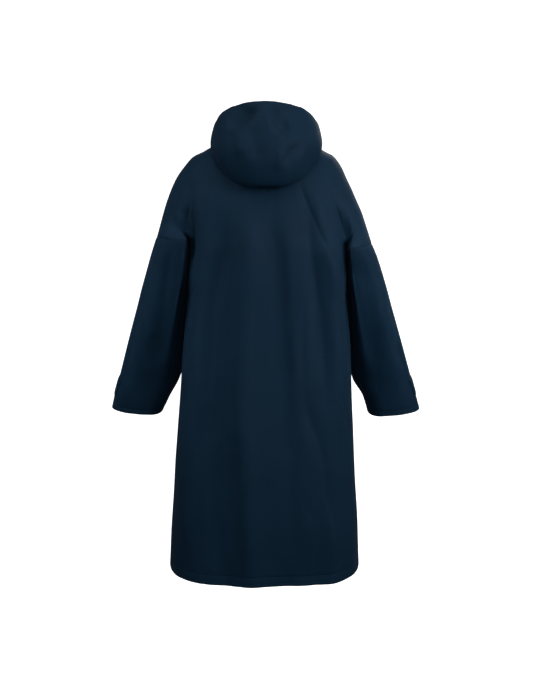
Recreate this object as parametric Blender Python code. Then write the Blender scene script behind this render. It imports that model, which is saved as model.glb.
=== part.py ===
"""A hooded changing robe, worn but empty: dropped shoulders, wide sleeves and a full-length front zip.

The origin is the middle of the neck opening at the height of the nape. The wearer looks along +Y, so
the back of the robe faces -Y and the wearer's left is -X. Heights are given as drops below the nape.
Each cloth piece is a wall: a grid of points on its outer face, and the same points moved in.
"""

import math
from collections import namedtuple

import bmesh
import bpy
import numpy as np
from mathutils import Matrix

COLLECTION = "changing_robe"

# Cloth and seams.
WALL = 0.0022
SEAM_GAP = 0.0003
# How square a section is, where 2 is an ellipse. The back of the body hangs flatter than the rest.
SQUARENESS = 2.25
BACK_SQUARENESS = 3.2
ZIP_OPENING_HALF = 0.005
# The neck seam slopes, so its gap is measured upwards.
NECK_GAP = 0.0004

# The pieces' grids: columns from the centre to the side, and round half an arm and half the hood.
BACK_COLUMNS = 14
FRONT_COLUMNS = 10
ARM_COLUMNS = 8
HOOD_COLUMNS = (0, 14, 28, 42, 55, 68, 80, 93, 108, 126, 146, 164, 180)
HOOD_ROWS = (0, 0.5, 1, 1.5, 2, 2.5, 2.8, 3, 3.2, 3.5, 4, 4.5, 4.8, 5, 5.3, 5.65, 6)
YOKE_ROWS = (-0.015, 0.012, 0.032, 0.043, 0.064, 0.096, 0.122, 0.149, 0.180, 0.2135, 0.250, 0.290)
SKIRT_ROWS = (0.330, 0.380, 0.440, 0.505, 0.570, 0.640, 0.720, 0.800, 0.880, 0.960, 1.040, 1.105, 1.149)
SLEEVE_ROWS = (0.290, 0.325, 0.360, 0.410, 0.460, 0.510, 0.560, 0.606, 0.650, 0.700, 0.7405)

NECK_LEVEL = YOKE_ROWS[0]
ARMHOLE_LEVEL = YOKE_ROWS[-1]
HEM_LEVEL = SKIRT_ROWS[-1]
CUFF_LEVEL = SLEEVE_ROWS[-1]
# A row of the yoke is one arc at the shoulder. Lower down a fold parts it into body and arm at this angle.
PARTING_ANGLE = math.radians(46)
SEAM_EASE = 0.015
# The inside of the fold's bottom lies a little more than a wall's thickness towards the middle.
FOLD_BOTTOM_BIAS = 0.1
# Points inside the body and the arm, from which their outer faces look away.
BODY_MIDDLE_DROP = 0.25
ARM_MIDDLE_BELOW = 0.03
# Folds fade out over a share of their length, beside the seams, beside the zip and beside the hood's seam.
FOLD_FADING = 0.2
SIDE_FADING = 0.15
ZIP_FADING = 0.2
HOOD_SEAM_FADING = 12
# How a row falls from the side line to the centre line: the hem is cut as a shallow curve.
HEM_CURVE = 1.1

# Zip, slider and pull tab.
TAPE_WALL = 0.0012
TAPE_HALF_WIDTH = 0.0125
ZIP_TRACK_COLUMN = 1
SLIDER_WIDTH = 0.0090
SLIDER_HEIGHT = 0.0130
SLIDER_DEPTH = 0.0032
SLIDER_DROP = 0.040
SLIDER_STAND_OFF = 0.0006
EAR_THICKNESS = 0.0011
EAR_INSET = 0.0004
EAR_REACH = 0.0046
EAR_HEIGHT = 0.0040
PIN_RADIUS = 0.0008
PIN_ABOVE_MIDDLE = 0.0030
EYE_RADIUS = 0.0019
EYE_CLEARANCE = 0.0002
TAB_WIDTH = 0.0052
TAB_LENGTH = 0.0280
TAB_THICKNESS = 0.0016
BLOCK_ROUNDING = 0.3
ROD_SEGMENTS = 20

# Cuff tabs: rows and columns of the sleeve's grid that each one covers, and its thickness.
CUFF_TAB_ROWS = (8.05, 8.5, 8.72)
CUFF_TAB_COLUMNS = (7, 8, 9, 10, 11, 11.6)
CUFF_TAB_WALL = 0.0026

COLOURS = {
    "shell": (0.012, 0.028, 0.052, 1.0),
    "tape": (0.010, 0.018, 0.032, 1.0),
    "metal": (0.05, 0.05, 0.055, 1.0),
}


class Table:
    """Rows of named columns, read at any value of the first column along smooth curves."""

    def __init__(self, names, rows):
        self.names = names.split()
        self.values = np.array(rows, float)
        self.keys = self.values[:, 0]
        slopes = np.diff(self.values, axis=0) / np.diff(self.keys)[:, None]
        before = slopes[:-1]
        after = slopes[1:]
        same_way = before * after > 0
        total = np.where(same_way, before + after, 1.0)
        middle = np.where(same_way, 2 * before * after / total, 0.0)
        self.tangents = np.vstack([slopes[:1], middle, slopes[-1:]])

    def at(self, key, name):
        column = self.names.index(name)
        key = np.clip(np.asarray(key, float), self.keys[0], self.keys[-1])
        row = np.clip(np.searchsorted(self.keys, key, side="right") - 1, 0, len(self.keys) - 2)
        step = self.keys[row + 1] - self.keys[row]
        along = (key - self.keys[row]) / step
        start = self.values[row, column]
        end = self.values[row + 1, column]
        start_slope = self.tangents[row, column] * step
        end_slope = self.tangents[row + 1, column] * step
        return (
            start * (1 + 2 * along) * (1 - along) ** 2
            + start_slope * along * (1 - along) ** 2
            + end * along**2 * (3 - 2 * along)
            + end_slope * along**2 * (along - 1)
        )


# The body: half widths at the side seams, drops of the side lines, depth and drop at the centre lines.
BODY = Table(
    "level half_left half_right side_left side_right back front back_drop front_drop",
    [
        (-0.015, 0.074, 0.074, 0.000, 0.000, 0.075, 0.080, 0.000, 0.075),
        (0.012, 0.118, 0.115, 0.020, 0.020, 0.100, 0.098, 0.035, 0.100),
        (0.032, 0.152, 0.146, 0.042, 0.042, 0.122, 0.112, 0.066, 0.125),
        (0.043, 0.170, 0.163, 0.058, 0.058, 0.138, 0.124, 0.092, 0.150),
        (0.064, 0.182, 0.176, 0.085, 0.085, 0.150, 0.133, 0.118, 0.172),
        (0.096, 0.191, 0.188, 0.118, 0.118, 0.160, 0.142, 0.150, 0.200),
        (0.149, 0.198, 0.203, 0.165, 0.168, 0.171, 0.152, 0.195, 0.235),
        (0.2135, 0.2005, 0.2135, 0.222, 0.235, 0.178, 0.158, 0.250, 0.275),
        (0.290, 0.2015, 0.2160, 0.280, 0.305, 0.182, 0.163, 0.310, 0.330),
        (0.360, 0.2055, 0.2185, 0.352, 0.364, 0.182, 0.165, 0.368, 0.372),
        (0.440, 0.2127, 0.2225, 0.438, 0.441, 0.180, 0.165, 0.443, 0.443),
        (0.570, 0.2240, 0.2305, 0.570, 0.570, 0.179, 0.166, 0.571, 0.571),
        (0.700, 0.2325, 0.2347, 0.700, 0.700, 0.181, 0.169, 0.701, 0.701),
        (0.880, 0.2455, 0.2417, 0.880, 0.880, 0.188, 0.177, 0.883, 0.882),
        (1.040, 0.2550, 0.2510, 1.034, 1.034, 0.195, 0.185, 1.048, 1.045),
        (1.149, 0.2605, 0.2545, 1.130, 1.132, 0.200, 0.191, 1.166, 1.160),
    ],
)

# The yoke over the shoulders: the ridge from the neck to the top of the armhole, how far the fold
# between body and arm is formed, and the depth of the arm behind and in front.
YOKE = Table(
    "level ridge_left ridge_right drop_left drop_right fold_left fold_right arm_back arm_front",
    [
        (-0.015, 0.080, 0.080, -0.015, -0.015, 0.00, 0.00, 0.070, 0.070),
        (0.012, 0.130, 0.126, 0.012, 0.012, 0.00, 0.00, 0.085, 0.085),
        (0.032, 0.168, 0.1615, 0.032, 0.032, 0.00, 0.00, 0.095, 0.095),
        (0.043, 0.190, 0.1825, 0.043, 0.043, 0.00, 0.00, 0.102, 0.102),
        (0.064, 0.2107, 0.1988, 0.064, 0.064, 0.00, 0.00, 0.108, 0.110),
        (0.096, 0.2350, 0.2150, 0.096, 0.096, 0.02, 0.01, 0.113, 0.118),
        (0.149, 0.2595, 0.2395, 0.149, 0.149, 0.09, 0.08, 0.119, 0.128),
        (0.2135, 0.2775, 0.2645, 0.207, 0.2135, 0.34, 0.32, 0.123, 0.136),
        (0.290, 0.2925, 0.2862, 0.259, 0.278, 1.00, 1.00, 0.125, 0.140),
        (0.330, 0.3000, 0.2938, 0.286, 0.303, 1.00, 1.00, 0.126, 0.142),
    ],
)

# The sleeves: x of the inner and outer edges, drop of the inner edge and how much higher the outer one
# lies, how far forward the arm hangs, its depth, where its rear ridge lies, and how a ring leans.
SLEEVE = Table(
    "level inner_left inner_right outer_left outer_right drop_left drop_right rise_left rise_right"
    " forward back front rear lean",
    [
        (0.29, 0.2021, 0.2166, 0.2925, 0.2862, 0.28, 0.305, 0.021, 0.027, 0.000, 0.125, 0.14, 0.06, 0.00),
        (0.325, 0.2052, 0.2189, 0.307, 0.301, 0.32, 0.334, 0.019, 0.022, 0.003, 0.119, 0.131, 0.08, 0.02),
        (0.36, 0.2076, 0.2201, 0.32, 0.3135, 0.36, 0.364, 0.017, 0.018, 0.01, 0.112, 0.122, 0.11, 0.05),
        (0.41, 0.211, 0.2223, 0.3355, 0.3293, 0.41, 0.412, 0.016, 0.016, 0.02, 0.103, 0.11, 0.16, 0.08),
        (0.46, 0.2145, 0.2237, 0.3505, 0.3445, 0.46, 0.46, 0.015, 0.015, 0.03, 0.094, 0.098, 0.23, 0.12),
        (0.56, 0.22, 0.2265, 0.38, 0.3755, 0.56, 0.56, 0.013, 0.013, 0.056, 0.073, 0.073, 0.38, 0.22),
        (0.606, 0.2262, 0.2315, 0.393, 0.3893, 0.606, 0.606, 0.0125, 0.0125, 0.069, 0.063, 0.063, 0.42, 0.26),
        (0.65, 0.24, 0.2415, 0.4055, 0.4025, 0.65, 0.65, 0.012, 0.012, 0.082, 0.055, 0.055, 0.42, 0.29),
        (0.7, 0.268, 0.2715, 0.4215, 0.4185, 0.7, 0.7, 0.01, 0.01, 0.097, 0.052, 0.052, 0.36, 0.3),
        (0.7405, 0.288, 0.2855, 0.4323, 0.4324, 0.7405, 0.7445, 0.0085, 0.0085, 0.108, 0.05, 0.05, 0.3, 0.3),
    ],
)

# The hood, lying back: its profile at angles round the neck from the centre back. From the neck seam it
# rolls over, falls to the fold on the back, turns up past its widest place to the top and ends at the
# lip. Each station is a distance out from the neck's axis and a height above the nape.
HOOD = Table(
    "around roll_out roll_up fall_out fall_up fold_out fold_up wide_out wide_up top_out top_up"
    " lip_out lip_up",
    [
        (0, 0.090, 0.014, 0.134, -0.040, 0.182, -0.1315, 0.208, -0.035, 0.160, 0.084, 0.118, 0.056),
        (12, 0.090, 0.014, 0.134, -0.040, 0.182, -0.1305, 0.208, -0.035, 0.160, 0.084, 0.119, 0.055),
        (23, 0.091, 0.015, 0.138, -0.040, 0.180, -0.1225, 0.205, -0.034, 0.159, 0.082, 0.120, 0.053),
        (36, 0.092, 0.018, 0.142, -0.036, 0.175, -0.1005, 0.196, -0.031, 0.155, 0.075, 0.120, 0.050),
        (46, 0.093, 0.020, 0.142, -0.028, 0.171, -0.0770, 0.184, -0.026, 0.150, 0.067, 0.120, 0.046),
        (57, 0.094, 0.023, 0.138, -0.016, 0.164, -0.0510, 0.170, -0.015, 0.146, 0.057, 0.119, 0.041),
        (67, 0.095, 0.026, 0.132, -0.005, 0.156, -0.0300, 0.158, -0.002, 0.142, 0.047, 0.118, 0.036),
        (78, 0.096, 0.029, 0.126, 0.004, 0.148, -0.0160, 0.149, 0.008, 0.137, 0.045, 0.116, 0.035),
        (90, 0.097, 0.030, 0.120, 0.010, 0.137, -0.0060, 0.140, 0.015, 0.130, 0.045, 0.113, 0.034),
        (115, 0.090, 0.015, 0.101, 0.014, 0.112, 0.0130, 0.120, 0.024, 0.117, 0.037, 0.108, 0.030),
        (140, 0.087, -0.024, 0.091, -0.018, 0.096, -0.0100, 0.102, 0.000, 0.103, 0.014, 0.099, 0.012),
        (165, 0.084, -0.056, 0.086, -0.050, 0.089, -0.0420, 0.092, -0.030, 0.094, -0.014, 0.091, -0.010),
        (180, 0.083, -0.062, 0.085, -0.056, 0.087, -0.0490, 0.090, -0.037, 0.092, -0.022, 0.089, -0.018),
    ],
)

# The largest folds. A place is the body's x at the fold's top end and at its bottom end, width is how
# far its flanks reach, and depth is out of the cloth, so a trough is negative.
Fold = namedtuple("Fold", "place_top place_bottom top bottom width depth")
BACK_FOLDS = (
    (-0.041, -0.062, 0.120, 0.800, 0.027, 0.011),
    (-0.055, -0.028, 0.660, 1.350, 0.028, 0.012),
    (0.022, 0.056, 0.160, 0.840, 0.025, -0.011),
    (0.064, 0.050, 0.720, 1.350, 0.036, -0.009),
    (-0.104, -0.156, 0.140, 0.900, 0.027, -0.010),
    (-0.140, -0.092, 0.780, 1.350, 0.028, -0.006),
    (0.174, 0.182, 0.150, 0.860, 0.022, 0.008),
    (0.158, 0.184, 0.740, 1.350, 0.024, 0.008),
    (0.124, 0.130, 0.240, 0.760, 0.018, -0.004),
)
FRONT_FOLDS = (
    (0.136, 0.115, 0.140, 0.900, 0.027, -0.011),
    (-0.131, -0.125, 0.160, 0.800, 0.027, -0.010),
    (0.190, 0.205, 0.420, 1.300, 0.021, -0.010),
    (-0.188, -0.200, 0.350, 1.300, 0.021, -0.011),
    (0.116, 0.146, 0.700, 1.300, 0.022, 0.008),
    (-0.110, -0.133, 0.600, 1.300, 0.022, 0.008),
)
# On a sleeve, a place runs from 0 at the inner edge, round the back to 1 at the outer edge, to 2.
SLEEVE_FOLDS = (
    (0.62, 0.50, 0.300, 0.620, 0.10, -0.008),
    (0.88, 0.80, 0.420, 0.700, 0.09, -0.005),
    (1.45, 1.40, 0.320, 0.660, 0.11, -0.008),
)
# Hollows near the top of the hood: angle round the neck, place up the profile, their reach and depth.
Hollow = namedtuple("Hollow", "around up angle_reach up_reach depth")
HOOD_HOLLOWS_LEFT = ((22, 4.75, 12, 0.35, -0.013),)
HOOD_HOLLOWS_RIGHT = ((27, 4.70, 14, 0.45, -0.016), (40, 3.60, 10, 0.50, -0.007))

# The hood lies a little towards the wearer's right.
HOOD_SHIFT = 0.0025
HOOD_SHIFT_END = 140
HOOD_SHIFT_FADING = 60
HOOD_STATIONS = ("roll", "fall", "fold", "wide", "top", "lip")
FOLD_STATION = HOOD_STATIONS.index("fold") + 1
TOP_STATION = HOOD_STATIONS.index("top") + 1
LIP_STATION = HOOD_STATIONS.index("lip") + 1

LEFT = -1
RIGHT = 1
BACK = -1
FRONT = 1
SIDE_NAMES = {LEFT: "left", RIGHT: "right"}
HALF_NAMES = {BACK: "back", FRONT: "front"}


def smooth(value):
    value = np.clip(value, 0.0, 1.0)
    return value * value * (3 - 2 * value)


def rounded(angle, squareness=SQUARENESS):
    """The two coordinates, 0 to 1, of a quarter of a rounded rectangle at an angle from its centre line."""
    power = 2 / squareness
    return np.clip(np.sin(angle), 0, 1) ** power, np.clip(np.cos(angle), 0, 1) ** power


def start_angle(half, width, squareness=SQUARENESS):
    """Where a row starts: at the centre line behind, and at the edge of the zip's opening in front."""
    if half == BACK:
        return np.zeros_like(width)
    return np.arcsin((ZIP_OPENING_HALF / width) ** (squareness / 2))


def shoulder_arc(side, half, level, angle):
    """A row of the yoke as one arc, from the centre line to the ridge."""
    name = SIDE_NAMES[side]
    out, along = rounded(angle)
    ridge = YOKE.at(level, "ridge_" + name)
    drop = YOKE.at(level, "drop_" + name)
    depth = BODY.at(level, HALF_NAMES[half])
    centre_drop = BODY.at(level, HALF_NAMES[half] + "_drop")
    x = side * ridge * out
    y = half * (SEAM_GAP / 2 + (depth - SEAM_GAP / 2) * along)
    z = -(drop + (centre_drop - drop) * np.cos(angle) ** 2)
    return np.stack(np.broadcast_arrays(x, y, z), axis=-1)


def seam_edge(level):
    """Distance of the body's edge from the side line: a wall's thickness inside the fold, then the seam."""
    above = np.clip((ARMHOLE_LEVEL + SEAM_EASE - level) / SEAM_EASE, 0, 1)
    return SEAM_GAP / 2 + WALL * above


def part_from(arc, parted, side, level):
    share = np.where(level >= ARMHOLE_LEVEL, 1.0, YOKE.at(level, "fold_" + SIDE_NAMES[side]))
    return arc + (parted - arc) * np.clip(share, 0, 1)[..., None]


def body_point(side, half, level, across):
    """A point of the body's outer face, from the centre line (0) to the side seam or the fold (1)."""
    level, across = np.broadcast_arrays(np.asarray(level, float), np.asarray(across, float))
    name = SIDE_NAMES[side]
    start = start_angle(half, YOKE.at(level, "ridge_" + name))
    arc = shoulder_arc(side, half, level, start + (PARTING_ANGLE - start) * across)
    width = BODY.at(level, "half_" + name)
    squareness = BACK_SQUARENESS if half == BACK else SQUARENESS
    start = start_angle(half, width, squareness)
    angle = start + (math.pi / 2 - start) * across
    out, along = rounded(angle, squareness)
    edge = seam_edge(level)
    depth = BODY.at(level, HALF_NAMES[half])
    side_drop = BODY.at(level, "side_" + name)
    centre_drop = BODY.at(level, HALF_NAMES[half] + "_drop")
    x = side * width * out
    y = half * (edge + (depth - edge) * along)
    z = -(side_drop + (centre_drop - side_drop) * along**HEM_CURVE)
    return part_from(arc, np.stack([x, y, z], axis=-1), side, level)


def arm_point(side, half, level, around):
    """A point of the yoke over the arm, from the fold beside the body (0) to the ridge (1)."""
    level, around = np.broadcast_arrays(np.asarray(level, float), np.asarray(around, float))
    name = SIDE_NAMES[side]
    arc = shoulder_arc(side, half, level, PARTING_ANGLE + (math.pi / 2 - PARTING_ANGLE) * around)
    inner = BODY.at(level, "half_" + name)
    outer = YOKE.at(level, "ridge_" + name)
    rear = inner + (outer - inner) * SLEEVE.at(ARMHOLE_LEVEL, "rear")
    depth = YOKE.at(level, "arm_" + HALF_NAMES[half])
    turn = math.pi * around
    deep, wide = rounded(np.abs(turn - np.where(turn > math.pi / 2, math.pi, 0)))
    inside = turn <= math.pi / 2
    edge = np.where(inside, seam_edge(level), SEAM_GAP / 2)
    x = side * np.where(inside, rear - (rear - inner) * wide, rear + (outer - rear) * wide)
    y = half * (edge + (depth - edge) * deep)
    drop = BODY.at(level, "side_" + name)
    ridge_drop = YOKE.at(level, "drop_" + name)
    z = -(drop + (ridge_drop - drop) * (1 - np.cos(turn)) / 2)
    return part_from(arc, np.stack([x, y, z], axis=-1), side, level)


def sleeve_point(side, level, around):
    """A point of a sleeve, from its inner edge (0) round the back to its outer edge (1) and on to 2."""
    level, around = np.broadcast_arrays(np.asarray(level, float), np.asarray(around, float))
    name = SIDE_NAMES[side]
    inner = SLEEVE.at(level, "inner_" + name)
    outer = SLEEVE.at(level, "outer_" + name)
    rear = inner + (outer - inner) * SLEEVE.at(level, "rear")
    forward = SLEEVE.at(level, "forward")
    turn = math.pi * np.mod(around, 2.0)
    behind = turn <= math.pi
    turn = np.where(behind, turn, 2 * math.pi - turn)
    deep, wide = rounded(np.where(turn > math.pi / 2, math.pi - turn, turn))
    x = side * np.where(turn <= math.pi / 2, rear - (rear - inner) * wide, rear + (outer - rear) * wide)
    depth = np.where(behind, -SLEEVE.at(level, "back"), SLEEVE.at(level, "front"))
    y = forward + depth * deep
    z = -SLEEVE.at(level, "drop_" + name)
    z = z + SLEEVE.at(level, "rise_" + name) * (1 - np.cos(turn)) / 2
    z = z - SLEEVE.at(level, "lean") * (forward - y)
    return np.stack([x, y, z], axis=-1)


def neck_point(side, around):
    """The neck seam at an angle round the neck from the centre back (0) to the centre front (180)."""
    around = np.asarray(around, float)
    level = np.full(around.shape, NECK_LEVEL)
    behind = shoulder_arc(side, BACK, level, np.radians(np.minimum(around, 90)))
    start = start_angle(FRONT, YOKE.at(level, "ridge_" + SIDE_NAMES[side]))
    ahead = start + (math.pi / 2 - start) * (180 - np.maximum(around, 90)) / 90
    before = shoulder_arc(side, FRONT, level, ahead)
    return np.where((around <= 90)[..., None], behind, before)


def neck_on_chords(side, around):
    """The neck seam as the straight stretches between the hood's columns, which the body's edge follows.

    The place nearest to each column is moved onto it, so that no stretch cuts a corner.
    """
    around = np.array(around, float)
    stations = np.array(HOOD_COLUMNS, float)
    for station in stations[(stations > around.min()) & (stations < around.max())]:
        nearest = 1 + np.argmin(np.abs(around[1:-1] - station))
        around[nearest] = station
    corners = neck_point(side, stations)
    return np.stack([np.interp(around, stations, corners[:, axis]) for axis in range(3)], axis=-1)


def hood_point(side, around, up):
    """A point of the hood: up is 0 at the seam, and then the number of each station in turn."""
    around, up = np.broadcast_arrays(np.asarray(around, float), np.asarray(up, float))
    seam = neck_point(side, around)
    edge = np.where(around < 90, SEAM_GAP / 2, ZIP_OPENING_HALF)
    seam_x = np.maximum(np.abs(seam[..., 0]), edge)
    stations = [np.stack([np.hypot(seam_x, seam[..., 1]), seam[..., 2] + NECK_GAP], axis=-1)]
    for name in HOOD_STATIONS:
        out = HOOD.at(around, name + "_out")
        stations.append(np.stack([out, HOOD.at(around, name + "_up")], axis=-1))
    stations = np.stack(stations)
    slopes = np.gradient(stations, axis=0)
    step = np.clip(np.floor(up).astype(int), 0, len(stations) - 2)
    along = (up - step)[..., None]
    index = tuple(np.indices(step.shape))
    start = stations[(step,) + index]
    end = stations[(step + 1,) + index]
    start_slope = slopes[(step,) + index]
    end_slope = slopes[(step + 1,) + index]
    place = (
        start * (1 + 2 * along) * (1 - along) ** 2
        + start_slope * along * (1 - along) ** 2
        + end * along**2 * (3 - 2 * along)
        + end_slope * along**2 * (along - 1)
    )
    seam_direction = np.arctan2(seam_x, -seam[..., 1])
    # Each half stops short of the other by the seam behind and by the zip's opening in front.
    short = np.arcsin(edge / place[..., 0]) * (1 - 2 * (around >= 90))
    share = np.abs(around - 90) / 90
    even = math.pi / 2 * (around / 90) + short * share
    direction = seam_direction + (even - seam_direction) * smooth(up)
    shift = HOOD_SHIFT * smooth(up / FOLD_STATION) * smooth((HOOD_SHIFT_END - around) / HOOD_SHIFT_FADING)
    x = side * place[..., 0] * np.sin(direction) + shift
    y = -place[..., 0] * np.cos(direction)
    return np.stack([x, y, place[..., 1]], axis=-1)


def fold_depth(folds, place, level):
    """The sum of the folds at a place, each one fading in and out along its length."""
    total = np.zeros(np.broadcast(place, level).shape)
    for fold in (Fold(*row) for row in folds):
        along = (level - fold.top) / (fold.bottom - fold.top)
        middle = fold.place_top + (fold.place_bottom - fold.place_top) * np.clip(along, 0, 1)
        ends = smooth(along / FOLD_FADING) * smooth((1 - along) / FOLD_FADING)
        total = total + fold.depth * ends * np.exp(-(((place - middle) / fold.width) ** 2))
    return total


def hollow_depth(hollows, around, up):
    total = np.zeros(np.broadcast(around, up).shape)
    for hollow in (Hollow(*row) for row in hollows):
        reach = ((around - hollow.around) / hollow.angle_reach) ** 2
        reach = reach + ((up - hollow.up) / hollow.up_reach) ** 2
        total = total + hollow.depth * np.exp(-reach)
    return total


def unit(vectors):
    return vectors / np.maximum(np.linalg.norm(vectors, axis=-1, keepdims=True), 1e-12)


def face_directions(point, rows, columns, row_limits, column_limits, step=1e-4):
    """Directions across a surface, from how its point function changes with its two coordinates."""
    rows, columns = np.broadcast_arrays(rows, columns)
    up = point(np.minimum(rows + step, row_limits[1]), columns)
    down = point(np.maximum(rows - step, row_limits[0]), columns)
    ahead = point(rows, np.minimum(columns + step, column_limits[1]))
    behind = point(rows, np.maximum(columns - step, column_limits[0]))
    return unit(np.cross(unit(up - down), unit(ahead - behind)))


def outward(normals, points, axis_point):
    """The directions turned so that they point away from an axis or a centre."""
    away = np.sum(normals * (points - axis_point), axis=-1, keepdims=True)
    return np.where(away < 0, -normals, normals)


def neck_directions(points):
    """Level directions away from the neck's axis: the walls on both sides of the neck seam share them."""
    return unit(points * np.array([1, 1, 0]))


def add_wall(name, outer, inner, material, collection, ring=False):
    """A closed wall between two grids of points. A cell with a missing corner is left out."""
    mesh = bpy.data.meshes.new(name)
    shape = bmesh.new()
    rows, columns = outer.shape[:2]
    present = ~np.isnan(outer[..., 0])
    vertices = {}
    for skin, grid in enumerate((outer, inner)):
        for row, column in zip(*np.nonzero(present)):
            vertices[skin, row, column] = shape.verts.new(grid[row, column])
    used = {}
    for row in range(rows - 1):
        for column in range(columns if ring else columns - 1):
            beside = (column + 1) % columns
            corners = [(row, column), (row, beside), (row + 1, beside), (row + 1, column)]
            if not all(present[corner] for corner in corners):
                continue
            shape.faces.new([vertices[(0, *corner)] for corner in corners])
            shape.faces.new([vertices[(1, *corner)] for corner in reversed(corners)])
            for start, end in zip(corners, corners[1:] + corners[:1]):
                used.setdefault(frozenset((start, end)), []).append((start, end))
    for edges in used.values():
        if len(edges) == 1:
            start, end = edges[0]
            around = [(0, *end), (0, *start), (1, *start), (1, *end)]
            shape.faces.new([vertices[corner] for corner in around])
    bmesh.ops.recalc_face_normals(shape, faces=shape.faces)
    shape.to_mesh(mesh)
    shape.free()
    mesh.shade_smooth()
    mesh.set_sharp_from_angle(angle=math.radians(50))
    mesh.materials.append(material)
    piece = bpy.data.objects.new(name, mesh)
    collection.objects.link(piece)
    return piece


def body_grid(side, half, columns):
    """Points and directions of half a row's width, centre line to ridge, for every row of the body."""
    levels = np.array(YOKE_ROWS + SKIRT_ROWS)[:, None]
    across = np.linspace(0, 1, columns + 1)[None, :]
    limits = (NECK_LEVEL, HEM_LEVEL)

    def body(rows, places):
        return body_point(side, half, rows, places)

    def arm(rows, places):
        return arm_point(side, half, rows, places)

    points = body(levels, across)
    normals = face_directions(body, levels, across, limits, (0, 1))
    normals = outward(normals, points, np.array([0, 0, -BODY_MIDDLE_DROP]))
    yoke = np.array(YOKE_ROWS)[:, None]
    around = np.linspace(0, 1, ARM_COLUMNS + 1)[None, :]
    arm_points = arm(yoke, around)
    arm_normals = face_directions(arm, yoke, around, (NECK_LEVEL, ARMHOLE_LEVEL), (0, 1))
    middle = arm_points.mean(axis=1, keepdims=True) * np.array([1, 0, 1])
    middle = middle - np.array([0, 0, ARM_MIDDLE_BELOW])
    arm_normals = outward(arm_normals, arm_points, middle)

    # The two faces of the fold between body and arm share its bottom, whose inside lies further in.
    bottom = normals[: len(YOKE_ROWS), -1] + arm_normals[:, 0] + np.array([0, half * FOLD_BOTTOM_BIAS, 0])
    bottom[-1, 2] = 0
    normals[: len(YOKE_ROWS), -1] = unit(bottom)
    normals[len(YOKE_ROWS) :, -1, 1] = 0
    arm_normals[:, -1, 1] = 0
    arm_normals[-1, :, 2] = 0
    normals[-1, :, 2] = 0
    if half == FRONT:
        normals[:, 0, 0] = 0
    normals = unit(normals)
    arm_normals = unit(arm_normals)

    folds = BACK_FOLDS if half == BACK else FRONT_FOLDS
    fading = smooth((1 - across) / SIDE_FADING)
    if half == FRONT:
        fading = fading * smooth(across / ZIP_FADING)
    points = points + normals * (fold_depth(folds, points[..., 0], levels) * fading)[..., None]

    rows = len(YOKE_ROWS) + len(SKIRT_ROWS)
    outer = np.full((rows, columns + 1 + ARM_COLUMNS, 3), np.nan)
    inward = outer.copy()
    outer[:, : columns + 1] = points
    inward[:, : columns + 1] = normals
    outer[: len(YOKE_ROWS), columns + 1 :] = arm_points[:, 1:]
    inward[: len(YOKE_ROWS), columns + 1 :] = arm_normals[:, 1:]

    # The neck edge follows the hood's columns, so that the seam stays even.
    start = start_angle(half, YOKE.at(NECK_LEVEL, "ridge_" + SIDE_NAMES[side]))
    near = start + (PARTING_ANGLE - start) * across[0]
    far = PARTING_ANGLE + (math.pi / 2 - PARTING_ANGLE) * around[0, 1:]
    shares = (np.concatenate([near, far]) - start) / (math.pi / 2 - start)
    outer[0] = neck_on_chords(side, 90 * shares if half == BACK else 180 - 90 * shares)
    inward[0] = neck_directions(outer[0])
    inward[0, 0, 0] = 0
    inward[0] = unit(inward[0])
    return outer, outer - WALL * inward


def mirrored_columns(left, right):
    """Two half grids that share their centre line, as one grid from left to right."""
    return np.concatenate([left[:, ::-1], right[:, 1:]], axis=1)


def add_back(material, collection):
    left_outer, left_inner = body_grid(LEFT, BACK, BACK_COLUMNS)
    right_outer, right_inner = body_grid(RIGHT, BACK, BACK_COLUMNS)
    for left, right in ((left_outer, right_outer), (left_inner, right_inner)):
        left[:, 0] = (left[:, 0] + right[:, 0]) / 2
    outer = mirrored_columns(left_outer, right_outer)
    inner = mirrored_columns(left_inner, right_inner)
    add_wall("back", outer, inner, material, collection)


def add_front(side, material, collection):
    outer, inner = body_grid(side, FRONT, FRONT_COLUMNS)
    add_wall("front_" + SIDE_NAMES[side], outer, inner, material, collection)
    return outer, inner


def sleeve_grid(side):
    levels = np.array(SLEEVE_ROWS)[:, None]
    around = np.arange(2 * ARM_COLUMNS)[None, :] / ARM_COLUMNS

    def sleeve(rows, places):
        return sleeve_point(side, rows, places)

    points = sleeve(levels, around)
    normals = face_directions(sleeve, levels, around, (ARMHOLE_LEVEL, CUFF_LEVEL), (-1, 3))
    normals = outward(normals, points, points.mean(axis=1, keepdims=True))
    normals[0, :, 2] = 0
    normals = unit(normals)
    points = points + normals * fold_depth(SLEEVE_FOLDS, around, levels)[..., None]
    points[0, :, 2] -= SEAM_GAP
    return points, normals


def add_sleeve(side, material, collection):
    points, normals = sleeve_grid(side)
    add_wall("sleeve_" + SIDE_NAMES[side], points, points - WALL * normals, material, collection, ring=True)
    return points, normals


def grid_at(grid, row, column):
    """A place on the flat faces of a grid, between its points."""
    row = min(max(row, 0), grid.shape[0] - 1.000001)
    column = min(max(column, 0), grid.shape[1] - 1.000001)
    first_row = int(row)
    first_column = int(column)
    down = row - first_row
    along = column - first_column
    top = grid[first_row, first_column] * (1 - along) + grid[first_row, first_column + 1] * along
    bottom = grid[first_row + 1, first_column] * (1 - along) + grid[first_row + 1, first_column + 1] * along
    return top * (1 - down) + bottom * down


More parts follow.
